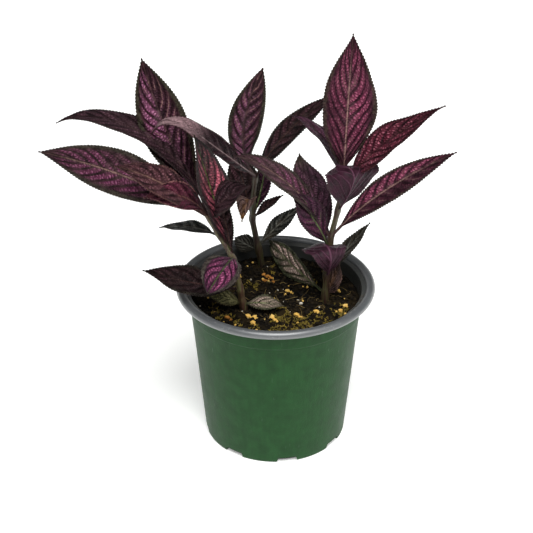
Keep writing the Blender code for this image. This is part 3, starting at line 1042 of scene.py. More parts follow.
def leaf_frames(leaf, root, steps, lead):
    """Return the midrib's point and its forward, side and up vectors at each step."""
    forward = direction(leaf.azimuth, leaf.rise)
    level = direction(leaf.azimuth + 90.0, 0.0)
    above = forward.cross(level)
    turn = math.radians(leaf.roll)
    side = level * math.cos(turn) + above * math.sin(turn)
    up = forward.cross(side)

    def heading(share):
        hook = leaf.hook * ease((share - leaf.hook_at) / HOOK_SHARE + 0.5)
        lift = math.radians(leaf.arch * (0.5 - share) - hook)
        swing = math.radians(leaf.sweep * (share - 0.5))
        ahead = (forward * math.cos(swing) + side * math.sin(swing)) * math.cos(lift)
        ahead += up * math.sin(lift)
        return ahead, side * math.cos(swing) - forward * math.sin(swing)

    point = root.copy()
    frames = []
    for index in range(steps + 1):
        share = index / steps
        if index > 0:
            point = point + heading(share - 0.5 / steps + lead)[0] * (leaf.length / steps)
        ahead, across = heading(share)
        frames.append((point.copy(), ahead, across, ahead.cross(across)))
    return frames


def half_width(leaf, share):
    """Return half the blade's width at a share of its length, from petiole to tip."""
    if share <= PETIOLE_SHARE:
        return PETIOLE_HALF_WIDTH
    blade = (share - PETIOLE_SHARE) / (1.0 - PETIOLE_SHARE)
    fore = LEAF_FULLNESS * leaf.widest
    aft = LEAF_FULLNESS * (1.0 - leaf.widest)
    peak = leaf.widest**fore * (1.0 - leaf.widest) ** aft
    full = blade**fore * (1.0 - blade) ** aft / peak
    least = PETIOLE_HALF_WIDTH + (TIP_HALF_WIDTH - PETIOLE_HALF_WIDTH) * blade
    return max(0.5 * leaf.width * full, least)


def blade_spread(share):
    """Return how far the blade has opened at a share of the length, from 0 to 1."""
    return ease((share - PETIOLE_SHARE) / SPREAD_SHARE)


def toothed_half(leaf, station, share, edge, tooth_depth):
    """Return half the blade's width at a row, with its teeth, at a share of that width."""
    half = half_width(leaf, share)
    tooth = (station % LEAF_ROWS_PER_TOOTH) / (LEAF_ROWS_PER_TOOTH - 1) - 0.5
    if PETIOLE_SHARE < share < 1.0:
        half += tooth_depth * tooth * edge**TOOTH_EDGE_POWER * blade_spread(share)
    return max(half, TIP_HALF_WIDTH)


def vein_phase(leaf, count, share, side_share):
    """Return a number that is whole along each side vein and halfway between two."""
    blade = (share - PETIOLE_SHARE) / (1.0 - PETIOLE_SHARE)
    edge = abs(side_share)
    travel = (leaf.width / leaf.length) * (VEIN_LEAN * edge + VEIN_ARCH * edge * edge)
    shift = VEIN_SHIFT * ease(0.5 + side_share / VEIN_SHIFT_REACH)
    uneven = VEIN_UNEVEN * math.sin(2.0 * math.pi * VEIN_WAVES * blade + leaf.azimuth + shift)
    return count * (blade - travel) + shift + uneven


def leaf_rows(leaf, pitch):
    """Return how many rows of faces a leaf has along its length."""
    return LEAF_ROWS_PER_TOOTH * max(LEAST_TEETH, round(leaf.length / pitch))


def leaf_columns(leaf, columns):
    """Return how many columns of faces a leaf has across its blade."""
    wanted = 0.5 * columns * math.sqrt(leaf.width / FULL_COLUMNS_WIDTH)
    return max(LEAST_COLUMNS, 2 * round(wanted))


def leaf_thickness(blade, share, edge, off_rib):
    """Return how thick the leaf is at a share of its length and of its half width."""
    blade += RIB_RISE * (1.0 - RIB_TAPER * share) * math.exp(-((off_rib / RIB_WIDTH) ** 2))
    petiole = PETIOLE_THICKNESS * math.sqrt(max(1.0 - edge * edge, PETIOLE_EDGE))
    spread = ease((share - 0.5 * PETIOLE_SHARE) / PETIOLE_SHARE)
    return petiole + (blade - petiole) * spread


def blade_lift(leaf, share, side_share, half, phase, quilt):
    """Return how far the blade stands over its midrib: fold, waves, ripples and quilting."""
    edge = abs(side_share)
    spread = blade_spread(share)
    wave = LEAF_WAVE_HEIGHT * spread * math.sin(2.0 * math.pi * LEAF_WAVES * share)
    seed = Vector((leaf.azimuth, leaf.length * SEED_SCALE, leaf.foot * SEED_SCALE))
    ripple_at = Vector((side_share * half, share * leaf.length, 0.0)) * RIPPLE_SCALE + seed
    ripple = EDGE_RIPPLE * spread * edge * edge * noise.noise(ripple_at)
    crown = CROWN_HEIGHT * half * math.sin(math.pi * min(edge, 1.0)) * spread
    between = abs(math.sin(math.pi * phase))
    reach = ease(edge / QUILT_RIB_REACH)
    reach *= 1.0 - ease((edge - QUILT_EDGE_START) / QUILT_EDGE_REACH)
    quilt = quilt * (between**QUILT_POWER - 0.5) * reach * spread
    quilt *= 1.0 - share**QUILT_TIP_POWER
    quilt *= min(1.0, half / QUILT_FULL_HALF_WIDTH)
    fold = math.radians(leaf.fold) * spread
    lift = edge * half * math.sin(fold) + edge * edge * wave * 0.5 * leaf.width
    return lift + (ripple + crown + quilt)


def patch_glow(dress, share, side_share):
    """Return how bright a leaf's patches are at a place on its blade."""
    # This brightness is partly the leaf's own colour and partly painted light and shade.
    blend = ease(0.5 + SIDE_BLEND * side_share)
    sides = dress.right + (dress.left - dress.right) * blend
    glow = sides * (dress.base + (dress.tip - dress.base) * share)
    for along, across, reach, strength in dress.spots:
        gap = ((share - along) / reach) ** 2
        gap += ((side_share - across) / (SPOT_BREADTH * reach)) ** 2
        glow += strength * math.exp(-gap)
    return glow


def leaf_tint_and_sheen(dress, share):
    """Return how much of the zone's colour lies over the blade at a share of its length."""
    rise = ease((share - dress.tint_and_sheen_at) / TINT_AND_SHEEN_SPREAD + 0.5)
    return dress.haze * rise if dress.haze > 0.0 else -dress.haze * (1.0 - rise)


def leaf_numbers(leaf, share, side_share, half, phase):
    """Return the numbers that a leaf's materials read at a place on it."""
    dress = DRESSES[leaf.name]
    off_rib = abs(side_share) * half
    reach = share * leaf.length * math.cos(ROW_SLANT) + off_rib * math.sin(ROW_SLANT)
    return {
        "across": side_share,
        "along": share,
        "vein": phase,
        "row": reach / ROW_PITCH,
        "rib_gap": off_rib / MILLIMETRE,
        "glow": patch_glow(dress, share, side_share),
        "haze": leaf_tint_and_sheen(dress, share),
        "pale": dress.under_base + (dress.under_tip - dress.under_base) * share,
    }


def shape_leaf(leaf, stem, settings):
    """Return a bmesh of the leaf, closed and toothed, with its materials' numbers on it."""
    rows = leaf_rows(leaf, settings.tooth_pitch)
    columns = leaf_columns(leaf, settings.columns)
    stations = 2 * max(SOLID_LEAST_TEETH, round(leaf.length / SOLID_TOOTH_PITCH))
    frames = leaf_frames(leaf, point_on_stem(stem, leaf.foot), rows, 0.5 / stations)
    veins = max(LEAST_VEINS, round(leaf.length / settings.vein_pitch))
    shape = bmesh.new()
    layers = {name: shape.verts.layers.float.new(name) for name in LEAF_NUMBERS}
    bmesh.ops.create_grid(shape, x_segments=columns, y_segments=rows, size=1.0)
    upper = set(shape.verts)
    bmesh.ops.extrude_face_region(shape, geom=list(shape.faces), use_keep_orig=True)
    for vert in shape.verts:
        station = round(0.5 * (vert.co.y + 1.0) * rows)
        share = station / rows
        side_share = -math.copysign(abs(vert.co.x) ** COLUMN_CROWDING, vert.co.x)
        edge = abs(side_share)
        half = toothed_half(leaf, station, share, edge, settings.tooth_depth)
        phase = vein_phase(leaf, veins, share, side_share)
        for name, number in leaf_numbers(leaf, share, side_share, half, phase).items():
            vert[layers[name]] = number
        point, _, side, up = frames[station]
        out = side_share * half * math.cos(math.radians(leaf.fold) * blade_spread(share))
        lift = blade_lift(leaf, share, side_share, half, phase, settings.quilt)
        thickness = leaf_thickness(settings.blade, share, edge, edge * half)
        level = 0.5 * thickness if vert in upper else -0.5 * thickness
        vert.co = point + side * out + up * (lift + level)
    for part in shape.faces:
        part.material_index = 0 if all(vert in upper for vert in part.verts) else 1
    bmesh.ops.recalc_face_normals(shape, faces=shape.faces)
    return shape


def leaf_fields(finish):
    """Return how far a place is from the midrib, its vein number and its gap to a vein."""
    across = finish.math("ABSOLUTE", finish.attribute("across"))
    drift = finish.spread(finish.clouds(DRIFT_SCALE), -VEIN_DRIFT, VEIN_DRIFT)
    vein = finish.plus(finish.attribute("vein"), drift)
    return across, vein, finish.math("PINGPONG", vein, 0.5)


def leaf_bumps(finish, vein):
    """Return the small puckers between the side veins, 1 on their tops and 0 in creases."""
    places = {0: finish.times(vein, BUMPS_PER_VEIN), 1: finish.attribute("row")}
    grid = finish.node("ShaderNodeCombineXYZ", places).outputs[0]
    noise_inputs = {"Vector": grid, "Scale": BUMP_SHIFT_SCALE}
    shift = finish.node("ShaderNodeTexNoise", noise_inputs).outputs["Color"]
    warp = finish.node("ShaderNodeVectorMath", {0: grid, 1: shift}, operation="ADD").outputs[0]
    dome = finish.math("SUBTRACT", 1.0, finish.cells(warp), clamp=True)
    crease = finish.step(finish.cells(warp, "DISTANCE_TO_EDGE"), *BUMP_CREASE)
    return finish.times(dome, crease)


def patch_share(finish, across, along, off_vein, border):
    """Return where the patches lie: between veins, inside the margin, uneven in strength."""
    rough_edge = finish.spread(finish.clouds(ROUGH_EDGE_SCALE), -ROUGH_EDGE, ROUGH_EDGE)
    band = finish.step(finish.plus(off_vein, rough_edge), *PATCH_BAND)
    outer_edge = finish.plus(across, rough_edge)
    outer = finish.step(outer_edge, PATCH_OUTER_NONE - border, PATCH_OUTER_FULL - border)
    ends = finish.times(finish.step(along, *PATCH_BASE), finish.step(along, *PATCH_TIP))
    uneven = finish.step(finish.clouds(UNEVEN_SCALE, 2.0), *PATCH_UNEVEN)
    share = finish.times(finish.times(band, outer), finish.times(ends, uneven))
    share = finish.times(share, finish.step(finish.attribute("rib_gap"), *PATCH_RIB_GAP))
    return finish.times(share, finish.attribute("glow"), clamp=True)


def blade_ground(finish, look, across, along):
    """Return the blade's colour between its patches: mottled, with the zone over it."""
    glow = finish.attribute("glow")
    mottle = finish.step(finish.clouds(GROUND_SCALE, 4.0), *GROUND_MOTTLE)
    ground = finish.dim(look.ground, mottle)
    # The ground is darker where the patches are weak; on the dim half of some leaves that is
    # painted shade.
    ground = finish.dim(ground, finish.spread(glow, *GROUND_TINT_AND_SHADE))
    zone = finish.times(finish.step(across, *ZONE_ACROSS), finish.step(along, *ZONE_ALONG))
    zone = finish.times(zone, finish.step(finish.clouds(ZONE_SCALE, 2.0), *ZONE_BLOTS))
    zone = finish.times(zone, glow, clamp=True)
    # Over the hooked tip of arching_left this zone colour is a painted sheen.
    zone = finish.math("MAXIMUM", zone, finish.attribute("haze"))
    return finish.mix(zone, ground, look.zone)


def lay_patches(finish, look, surface, patch, bumps, across, off_vein):
    """Return the surface with its patches, their bumps painted lit and shaded, and painted
    highlights.
    """
    # Painted light and shade: each patch is painted lighter on its bumps' tops and darker in the
    # creases.
    tone = finish.spread(bumps, *PATCH_BUMP_LIGHT_AND_SHADE)
    surface = finish.mix(patch, surface, finish.dim(look.patch, tone))
    # Painted highlights: the crests between the veins are painted in the midrib's pale colour.
    crest = finish.times(finish.step(off_vein, *CREST_HIGHLIGHT_GAP), finish.step(across, *CREST_HIGHLIGHT_ACROSS))
    crest = finish.times(crest, finish.step(finish.clouds(CREST_HIGHLIGHT_SCALE, 2.0), *CREST_HIGHLIGHT_BLOTS))
    surface = finish.mix(finish.times(crest, look.crest), surface, look.rib)
    # Painted glints: the tops of the bumps are painted in a paler colour, as highlights.
    painted_glint = finish.times(finish.step(bumps, *PAINTED_GLINT_BUMPS), patch)
    painted_glint = finish.times(painted_glint, PAINTED_GLINT_STRENGTH * look.painted_glint, clamp=True)
    bright = tuple(PAINTED_GLINT_LEAST + PAINTED_GLINT_GAIN * part for part in look.patch)
    return finish.mix(painted_glint, surface, bright)


def lay_veins(finish, look, surface, across, along, off_vein):
    """Return the surface with its dark veins, margin, midrib and petiole laid on it."""
    line = finish.times(finish.step(off_vein, *LINE_GAP), finish.step(across, *LINE_ACROSS))
    line = finish.times(line, finish.step(finish.clouds(LINE_SCALE, 2.0), *LINE_BREAKS))
    surface = finish.mix(finish.times(line, look.lines), surface, look.vein)
    mottle = finish.clouds(MARGIN_SCALE, 5.0)
    rim = finish.plus(across, finish.spread(mottle, -RIM_ROUGHNESS, RIM_ROUGHNESS))
    rim = finish.step(rim, RIM_START - look.border, RIM_FULL - look.border)
    margin = finish.dim(look.margin, finish.step(mottle, *MARGIN_MOTTLE))
    surface = finish.mix(finish.times(rim, RIM_STRENGTH), surface, margin)
    middle = finish.step(finish.attribute("rib_gap"), *RIB_GAP)
    fade_start = look.rib_reach + RIB_FADE
    fade_end = look.rib_reach - RIB_FADE
    reach = finish.step(along, fade_start, fade_end, *RIB_STRENGTH)
    surface = finish.mix(finish.times(middle, reach), surface, look.rib)
    petiole = finish.step(along, *PETIOLE_ALONG)
    return finish.mix(petiole, surface, finish.dim(look.rib, PETIOLE_TONE))


def upper_finish(name, look):
    """Make the upper face's material: a dull blade with shining patches, painted light and shade.
    """
    finish = Finish(name)
    across, vein, off_vein = leaf_fields(finish)
    along = finish.attribute("along")
    bumps = leaf_bumps(finish, vein)
    patch = patch_share(finish, across, along, off_vein, look.border)
    surface = blade_ground(finish, look, across, along)
    surface = lay_patches(finish, look, surface, patch, bumps, across, off_vein)
    surface = lay_veins(finish, look, surface, across, along, off_vein)
    finish.set("Base Color", surface)
    finish.set("Metallic", finish.times(patch, look.metal))
    finish.set("Roughness", finish.spread(patch, *UPPER_ROUGHNESS))
    finish.set("Specular IOR Level", UPPER_SPECULAR)
    groove = finish.math("POWER", finish.times(off_vein, 2.0), 0.5)
    height = finish.plus(groove, finish.times(bumps, PUCKER_SHARE * look.pucker))
    height = finish.plus(height, finish.times(finish.clouds(UPPER_GRAIN_SCALE), GRAIN_SHARE))
    finish.bump(height, UPPER_BUMP)
    return finish.material


def under_finish(name, look):
    """Make the underside's material: matt, with raised veins."""
    finish = Finish(name, roughness=0.55)
    across, _, off_vein = leaf_fields(finish)
    line = finish.times(finish.step(off_vein, *UNDER_GAP), finish.step(across, *UNDER_ACROSS))
    middle = finish.step(finish.attribute("rib_gap"), *UNDER_RIB_GAP)
    lines = finish.math("MAXIMUM", finish.times(line, UNDER_LINE_SHARE), middle)
    pale = finish.attribute("pale")
    mottle = finish.step(finish.clouds(GROUND_SCALE, 4.0), *UNDER_MOTTLE)
    blade = finish.dim(look.under, finish.times(pale, mottle))
    surface = finish.mix(lines, blade, finish.dim(look.under_vein, pale))
    rim = finish.times(finish.step(across, *UNDER_RIM), UNDER_RIM_STRENGTH)
    finish.set("Base Color", finish.mix(rim, surface, look.margin))
    finish.set("Specular IOR Level", UNDER_SPECULAR)
    height = finish.plus(finish.times(lines, UNDER_VEIN_RISE), finish.clouds(UNDER_GRAIN_SCALE))
    finish.bump(height, UNDER_BUMP, strength=0.9)
    return finish.material


def leaf_finishes(look_name):
    """Return the two materials of a look, and make them the first time."""
    pair = []
    for part, make in (("upper", upper_finish), ("under", under_finish)):
        name = f"leaf_{look_name}_{part}"
        pair.append(bpy.data.materials.get(name) or make(name, LOOKS[look_name]))
    return pair


def make_leaves(stem, settings):
    """Make each leaf of a stem as a piece of its own."""
    for leaf in stem.leaves:
        materials = leaf_finishes(DRESSES[leaf.name].look)
        shape = shape_leaf(leaf, stem, settings)
        finish_piece(f"leaf_{leaf.name}", shape, materials, stem.name, sharp=55.0)


# Stalks

STALK_SIDES = 20
STALK_STEPS = 72
NODE_SWELL = 0.26
NODE_REACH = 0.0045
STALK_RIDGE = 0.09
STALK_RIDGES = 4.0
STALK_SQUEEZE = 0.12
STALK_STREAK_SCALE = 520.0
STALK_STREAKS = (0.42, 0.66)
STALK_STREAK_STRENGTH = 0.7
STALK_BLOTCH_SCALE = 60.0
STALK_BLOTCHES = (0.35, 0.7)
STALK_GRAIN_SCALE = 900.0
STALK_BUMP = 0.0004
STALK_DARK = (0.034, 0.013, 0.010)
STALK_BROWN = (0.066, 0.034, 0.018)
STALK_GREEN = (0.095, 0.100, 0.034)
# Painted light and shade by stalk: the middle one stands in shade, the left one in the light.
STALK_LIGHT_AND_SHADE = {"stem_left": 1.15, "stem_middle": 0.5, "stem_right": 0.8}


def stalk_finish(stem):
    """Make a stalk's material: reddish brown with pale green streaks, with painted light and
    shade.
    """
    finish = Finish(f"stalk_{stem.name}_brown", roughness=0.5)
    place = finish.squeezed(STALK_SQUEEZE)
    streak = finish.step(finish.clouds(STALK_STREAK_SCALE, 4.0, place), *STALK_STREAKS)
    blotch = finish.step(finish.clouds(STALK_BLOTCH_SCALE), *STALK_BLOTCHES)
    brown = finish.mix(blotch, STALK_DARK, STALK_BROWN)
    surface = finish.mix(finish.times(streak, STALK_STREAK_STRENGTH), brown, STALK_GREEN)
    # Painted light and shade: each stalk is painted lighter or darker by how much light it gets.
    finish.set("Base Color", finish.dim(surface, STALK_LIGHT_AND_SHADE[stem.name]))
    finish.bump(finish.clouds(STALK_GRAIN_SCALE, 4.0, place), STALK_BUMP, strength=0.6)
    return finish.material


def make_stalk(stem):
    """Make a stalk: a ridged tube that swells where leaves leave it."""
    x, y, top = stem.route[0]
    foot = SOIL_TOP - STEM_HOLE_DEPTH + SOIL_GAP
    crest = stem.route[-1][2]
    feet = sorted({leaf.foot for leaf in stem.leaves})
    shape = bmesh.new()
    ring = bmesh.ops.create_circle(
        shape, cap_ends=True, segments=STALK_SIDES, radius=1.0
    )["verts"]
    face = shape.faces[:][0]
    for step in range(STALK_STEPS + 1):
        height = foot + (crest - foot) * step / STALK_STEPS
        centre = Vector((x, y, height)) if height < top else point_on_stem(stem, height)
        share = max(height - top, 0.0) / (crest - top)
        radius = STEM_FOOT_RADIUS + (STEM_TOP_RADIUS - STEM_FOOT_RADIUS) * share
        swell = sum(math.exp(-(((height - at) / NODE_REACH) ** 2)) for at in feet)
        radius *= 1.0 + NODE_SWELL * min(swell, 1.0)
        if step > 0:
            face = bmesh.ops.extrude_discrete_faces(shape, faces=[face])["faces"][0]
            ring = list(face.verts)
        for index, vert in enumerate(ring):
            angle = 2.0 * math.pi * index / STALK_SIDES
            ridge = 1.0 + STALK_RIDGE * math.cos(STALK_RIDGES * angle)
            vert.co = centre + Vector((math.cos(angle), math.sin(angle), 0.0)) * radius * ridge
    bmesh.ops.recalc_face_normals(shape, faces=shape.faces)
    finish_piece(
        f"stalk_{stem.name}", shape, [stalk_finish(stem)], stem.name, sharp=60.0
    )


# Pot

LIP_ARC_STEPS = 20
LIP_UNDERCUT = 0.0022
LIP_UNDER_ROUND = 0.0008
LIP_UNDER_RISE = 0.0003
FOOT_CHAMFER = 0.0012
CORNER_REACH = 0.0006
CORNER_MOST = 0.45
CORNER_STEPS = 4
NOTCH_ROUND = 0.0012
NOTCH_ROUND_STEPS = 4
NOTCH_GUARD = 0.0015
GREY_MARGIN = 0.0005
WALL_SQUEEZE = 0.10
WALL_TONE_SCALE = 110.0
WALL_TONES = (0.30, 0.70, 0.86, 1.14)
WALL_STREAK_SCALE = 330.0
WALL_STREAKS = (0.30, 0.70, 0.93, 1.07)
WALL_SCUFF_SCALE = 420.0
WALL_SCUFFS = (0.66, 0.74)
WALL_SCUFF_STRENGTH = 0.18
WALL_SCUFF_COLOUR = (0.20, 0.26, 0.20)
WALL_SHEEN_SCALE = 90.0
WALL_ROUGHNESS = (0.40, 0.60)
WALL_GRAIN_SCALE = 650.0
WALL_BUMP = 0.0004
LIP_TONE_SCALE = 60.0
LIP_TONES = (0.75, 1.3)
LIP_DUST_SCALE = 500.0
LIP_DUST_SPECKS = (0.58, 0.72)
LIP_DUST_STRENGTH = 0.25
LIP_DUST_COLOUR = (0.33, 0.33, 0.32)
LIP_SHEEN_SCALE = 120.0
LIP_ROUGHNESS = (0.34, 0.56)
LIP_GRAIN_SCALE = 900.0
LIP_BUMP = 0.0002
INSIDE_SQUEEZE = 0.25
INSIDE_STAIN_SCALE = 140.0
INSIDE_STAINS = (0.52, 0.70)
INSIDE_STAIN_STRENGTH = 0.5
INSIDE_STAIN_COLOUR = (0.055, 0.045, 0.032)
INSIDE_ROUGHNESS = (0.34, 0.8)
INSIDE_GRAIN_SCALE = 700.0
INSIDE_BUMP = 0.0003


def pot_outer_wall():
    """Return the outer wall's points from the lip's underside down to the foot.

    One of them lies just over the notches, so that the wall above them stays smooth.
    """
    shoulder = Vector((POT_SHOULDER_RADIUS, POT_SHOULDER_HEIGHT))
    foot = Vector((POT_FOOT_RADIUS, FOOT_CHAMFER))
    guard_drop = POT_SHOULDER_HEIGHT - NOTCH_HEIGHT - NOTCH_GUARD
    guard = guard_drop / (POT_SHOULDER_HEIGHT - FOOT_CHAMFER)
    return [
        (POT_NECK_RADIUS, POT_HEIGHT - POT_LIP_DROP),
        (POT_NECK_RADIUS - POT_STEP_DEPTH, POT_STEP_HEIGHT + POT_STEP_DEPTH),
        (POT_NECK_RADIUS - POT_STEP_INSET, POT_STEP_HEIGHT),
        (POT_SHOULDER_RADIUS, POT_SHOULDER_HEIGHT),
        tuple(shoulder.lerp(foot, guard)),
        tuple(foot),
    ]


def pot_inner_wall():
    """Return the inner wall's points from the floor up to the lip's root."""
    slope = (POT_SHOULDER_RADIUS - POT_FOOT_RADIUS) / POT_SHOULDER_HEIGHT
    return [
        (POT_FOOT_RADIUS + slope * POT_FLOOR - POT_WALL, POT_FLOOR),
        (POT_SHOULDER_RADIUS - POT_WALL, POT_SHOULDER_HEIGHT),
        (POT_NECK_RADIUS - POT_WALL, POT_LIP_ROOT_HEIGHT),
    ]


def inner_radius(height):
    """Return the inner wall's radius at a height."""
    wall = pot_inner_wall()
    for (lower_radius, lower), (upper_radius, upper) in zip(wall, wall[1:]):
        if height <= upper:
            share = (height - lower) / (upper - lower)
            return lower_radius + share * (upper_radius - lower_radius)
    return wall[-1][0]


def curve_start(corner, neighbour, reach):
    """Return where the curve round a corner starts, on the way to a neighbour."""
    way = neighbour - corner
    return corner + way.normalized() * min(reach, CORNER_MOST * way.length)


def softened(points, reach):
    """Return a section with each of its corners rounded off by a short curve."""
    result = [points[0]]
    for before, corner, after in zip(points, points[1:], points[2:]):
        middle = Vector(corner)
        start = curve_start(middle, Vector(before), reach)
        end = curve_start(middle, Vector(after), reach)
        for index in range(CORNER_STEPS + 1):
            share = index / CORNER_STEPS
            first = start.lerp(middle, share)
            result.append(tuple(first.lerp(middle.lerp(end, share), share)))
    return result + [points[-1]]


def pot_profile():
    """Return the pot's closed section: floor, inner wall, lip, outer wall, underside."""
    lip_half = 0.5 * POT_LIP_WIDTH
    lip_middle = POT_LIP_RADIUS - lip_half
    arc_height = POT_HEIGHT - lip_half
    inner = [(0.0, POT_FLOOR)] + pot_inner_wall()
    lip = []
    for index in range(LIP_ARC_STEPS + 1):
        angle = math.pi * (1.0 - index / LIP_ARC_STEPS)
        radius = lip_middle + lip_half * math.cos(angle)
        lip.append((radius, arc_height + lip_half * math.sin(angle)))
    lip_under = POT_HEIGHT - POT_LIP_DROP
    under = [
        (POT_LIP_RADIUS - LIP_UNDER_ROUND, lip_under + LIP_UNDER_RISE),
        (POT_LIP_RADIUS - LIP_UNDERCUT, lip_under),
    ]
    foot = [(POT_FOOT_RADIUS - FOOT_CHAMFER, 0.0), (0.0, 0.0)]
    return softened(inner + lip + under + pot_outer_wall() + foot, CORNER_REACH)


def wall_finish(colour):
    """Make the green wall's material: satin plastic with cloudy tone and fine scuffs."""
    finish = Finish("pot_wall_green", roughness=0.5)
    finish.set("Specular IOR Level", 0.16)
    streaks = finish.squeezed(WALL_SQUEEZE)
    tone = finish.step(finish.clouds(WALL_TONE_SCALE, 7.0), *WALL_TONES)
    fine = finish.step(finish.clouds(WALL_STREAK_SCALE, 5.0, streaks), *WALL_STREAKS)
    surface = finish.dim(finish.dim(tuple(colour), tone), fine)
    scuff = finish.step(finish.clouds(WALL_SCUFF_SCALE, 6.0, streaks), *WALL_SCUFFS)
    scuff = finish.times(scuff, WALL_SCUFF_STRENGTH)
    finish.set("Base Color", finish.mix(scuff, surface, WALL_SCUFF_COLOUR))
    sheen = finish.clouds(WALL_SHEEN_SCALE, 4.0)
    finish.set("Roughness", finish.spread(sheen, *WALL_ROUGHNESS))
    finish.bump(finish.clouds(WALL_GRAIN_SCALE, 5.0), WALL_BUMP, strength=0.5)
    return finish.material


def lip_finish(colour):
    """Make the lip's material: grey satin plastic with faint scratches and dust."""
    finish = Finish("pot_lip_grey")
    tone = finish.spread(finish.clouds(LIP_TONE_SCALE, 4.0), *LIP_TONES)
    surface = finish.dim(tuple(colour), tone)
    dust = finish.step(finish.clouds(LIP_DUST_SCALE, 6.0), *LIP_DUST_SPECKS)
    dust = finish.times(dust, LIP_DUST_STRENGTH)
    finish.set("Base Color", finish.mix(dust, surface, LIP_DUST_COLOUR))
    sheen = finish.clouds(LIP_SHEEN_SCALE, 4.0)
    finish.set("Roughness", finish.spread(sheen, *LIP_ROUGHNESS))
    finish.set("Specular IOR Level", 0.9)
    finish.set("Coat Weight", 0.7)
    finish.set("Coat Roughness", 0.30)
    finish.bump(finish.clouds(LIP_GRAIN_SCALE), LIP_BUMP, strength=0.4)
    return finish.material


def inside_finish(colour):
    """Make the inner wall's material: near black, with streaks of dried soil."""
    finish = Finish("pot_inside_black")
    streaks = finish.squeezed(INSIDE_SQUEEZE)
    stain = finish.step(finish.clouds(INSIDE_STAIN_SCALE, 6.0, streaks), *INSIDE_STAINS)
    share = finish.times(stain, INSIDE_STAIN_STRENGTH)
    finish.set("Base Color", finish.mix(share, tuple(colour), INSIDE_STAIN_COLOUR))
    finish.set("Roughness", finish.spread(stain, *INSIDE_ROUGHNESS))
    finish.bump(finish.clouds(INSIDE_GRAIN_SCALE, 4.0), INSIDE_BUMP, strength=0.5)
    return finish.material


def shape_notches():
    """Return a bmesh of the wedges that cut the drain notches, with rounded tops."""
    shape = bmesh.new()
    outer = POT_FOOT_RADIUS + NOTCH_REACH_IN
    inner = POT_FOOT_RADIUS - NOTCH_REACH_IN
    for index in range(NOTCH_COUNT):
        azimuth = NOTCH_FIRST_AZIMUTH + 360.0 * index / NOTCH_COUNT
        block = bmesh.ops.create_cube(shape, size=1.0)["verts"]
        for vert in block:
            width = NOTCH_WIDTH * (NOTCH_TAPER if vert.co.z > 0.0 else 1.0)
            radius = outer if vert.co.x > 0.0 else inner
            height = NOTCH_HEIGHT if vert.co.z > 0.0 else -NOTCH_HEIGHT
            vert.co = Vector((radius, vert.co.y * width, height))
        tops = [
            edge
            for edge in shape.edges
            if all(vert in block and vert.co.z > 0.0 for vert in edge.verts)
            and abs(edge.verts[0].co.y - edge.verts[1].co.y) < MERGE_DISTANCE
        ]
        made = bmesh.ops.bevel(
            shape, geom=tops, offset=NOTCH_ROUND, offset_type="OFFSET",
            segments=NOTCH_ROUND_STEPS, profile=0.5, affect="EDGES", material=-1,
        )
        verts = {vert for vert in block if vert.is_valid} | set(made["verts"])
        turn = Matrix.Rotation(math.radians(azimuth), 3, "Z")
        bmesh.ops.rotate(shape, cent=(0.0, 0.0, 0.0), matrix=turn, verts=list(verts))
    return shape


def cut_away(piece, shape):
    """Cut a bmesh out of a piece."""
    mesh = bpy.data.meshes.new("cutter")
    shape.to_mesh(mesh)
    shape.free()
    cutter = bpy.data.objects.new("cutter", mesh)
    bpy.context.scene.collection.objects.link(cutter)
    cut = piece.modifiers.new("cut", "BOOLEAN")
    cut.operation = "DIFFERENCE"
    cut.solver = "EXACT"
    cut.object = cutter
    bpy.context.view_layer.update()
    depsgraph = bpy.context.evaluated_depsgraph_get()
    result = bpy.data.meshes.new_from_object(piece.evaluated_get(depsgraph))
    piece.modifiers.clear()
    piece.data = result
    bpy.data.objects.remove(cutter, do_unlink=True)


def make_pot(settings):
    """Make the pot as one turned shell, green outside, grey at the lip, black inside."""
    shape = turned(pot_profile(), settings.sides)
    grey_from = POT_HEIGHT - POT_LIP_DROP - GREY_MARGIN
    lip_inside = POT_LIP_RADIUS - POT_LIP_WIDTH
    for part in shape.faces:
        place = part.calc_center_median()
        outside = part.normal.x * place.x + part.normal.y * place.y > 0.0
        if math.hypot(place.x, place.y) > lip_inside and place.z > grey_from:
            part.material_index = 1
        elif not outside and place.z > NOTCH_HEIGHT:
            part.material_index = 2
    materials = [
        wall_finish(settings.wall), lip_finish(settings.lip), inside_finish(settings.inside)
    ]
    pot = finish_piece("pot_shell", shape, materials, "pot", sharp=35.0)
    cut_away(pot, shape_notches())


# Soil

SOIL_SEED = 11
SOIL_SIDES = 180
SOIL_REACH = 0.068
CLOD_SCALE = 160.0
CLOD_RATIO = 2.1
CLOD_HEIGHT = 0.0016
GRAIN_SCALE = 620.0
GRAIN_HEIGHT = 0.0005
PEAT_PATCH_SCALE = 55.0
PEAT_PATCHES = (0.46, 0.66)
PEAT_BROWN = (0.015, 0.010, 0.0035)
PEAT_TONE_SCALE = 900.0
PEAT_TONES = (0.3, 1.9)
PEAT_GRAIN_SCALE = 1100.0
PEAT_BUMP = 0.0009
CRUMB_SIZES = (0.0006, 0.0019)
CRUMB_ROUGHNESS = (0.65, 1.2)
CRUMB_TILT = 0.6
CRUMB_DARK = (0.003, 0.0022, 0.0014)
CRUMB_BROWN = (0.020, 0.013, 0.0045)
BIT_TONE_SCALE = 190.0
BIT_TONES = (0.35, 0.65)
BIT_GRAIN_SCALE = 1300.0
BIT_GRAINS = (0.6, 1.3)
BIT_BUMP_SCALE = 1600.0
BIT_BUMP = 0.0004
FIBRE_COUNT = 90
FIBRE_REACH = 0.064
FIBRE_LENGTHS = (0.004, 0.012)
FIBRE_RADII = (0.00016, 0.00034)
FIBRE_STEPS = 5
FIBRE_CURL = 1.3
FIBRE_TURN = 0.4
FIBRE_RISE = 0.0009
FIBRE_HUMP = 0.0012
FIBRE_BROWN = (0.060, 0.038, 0.013)
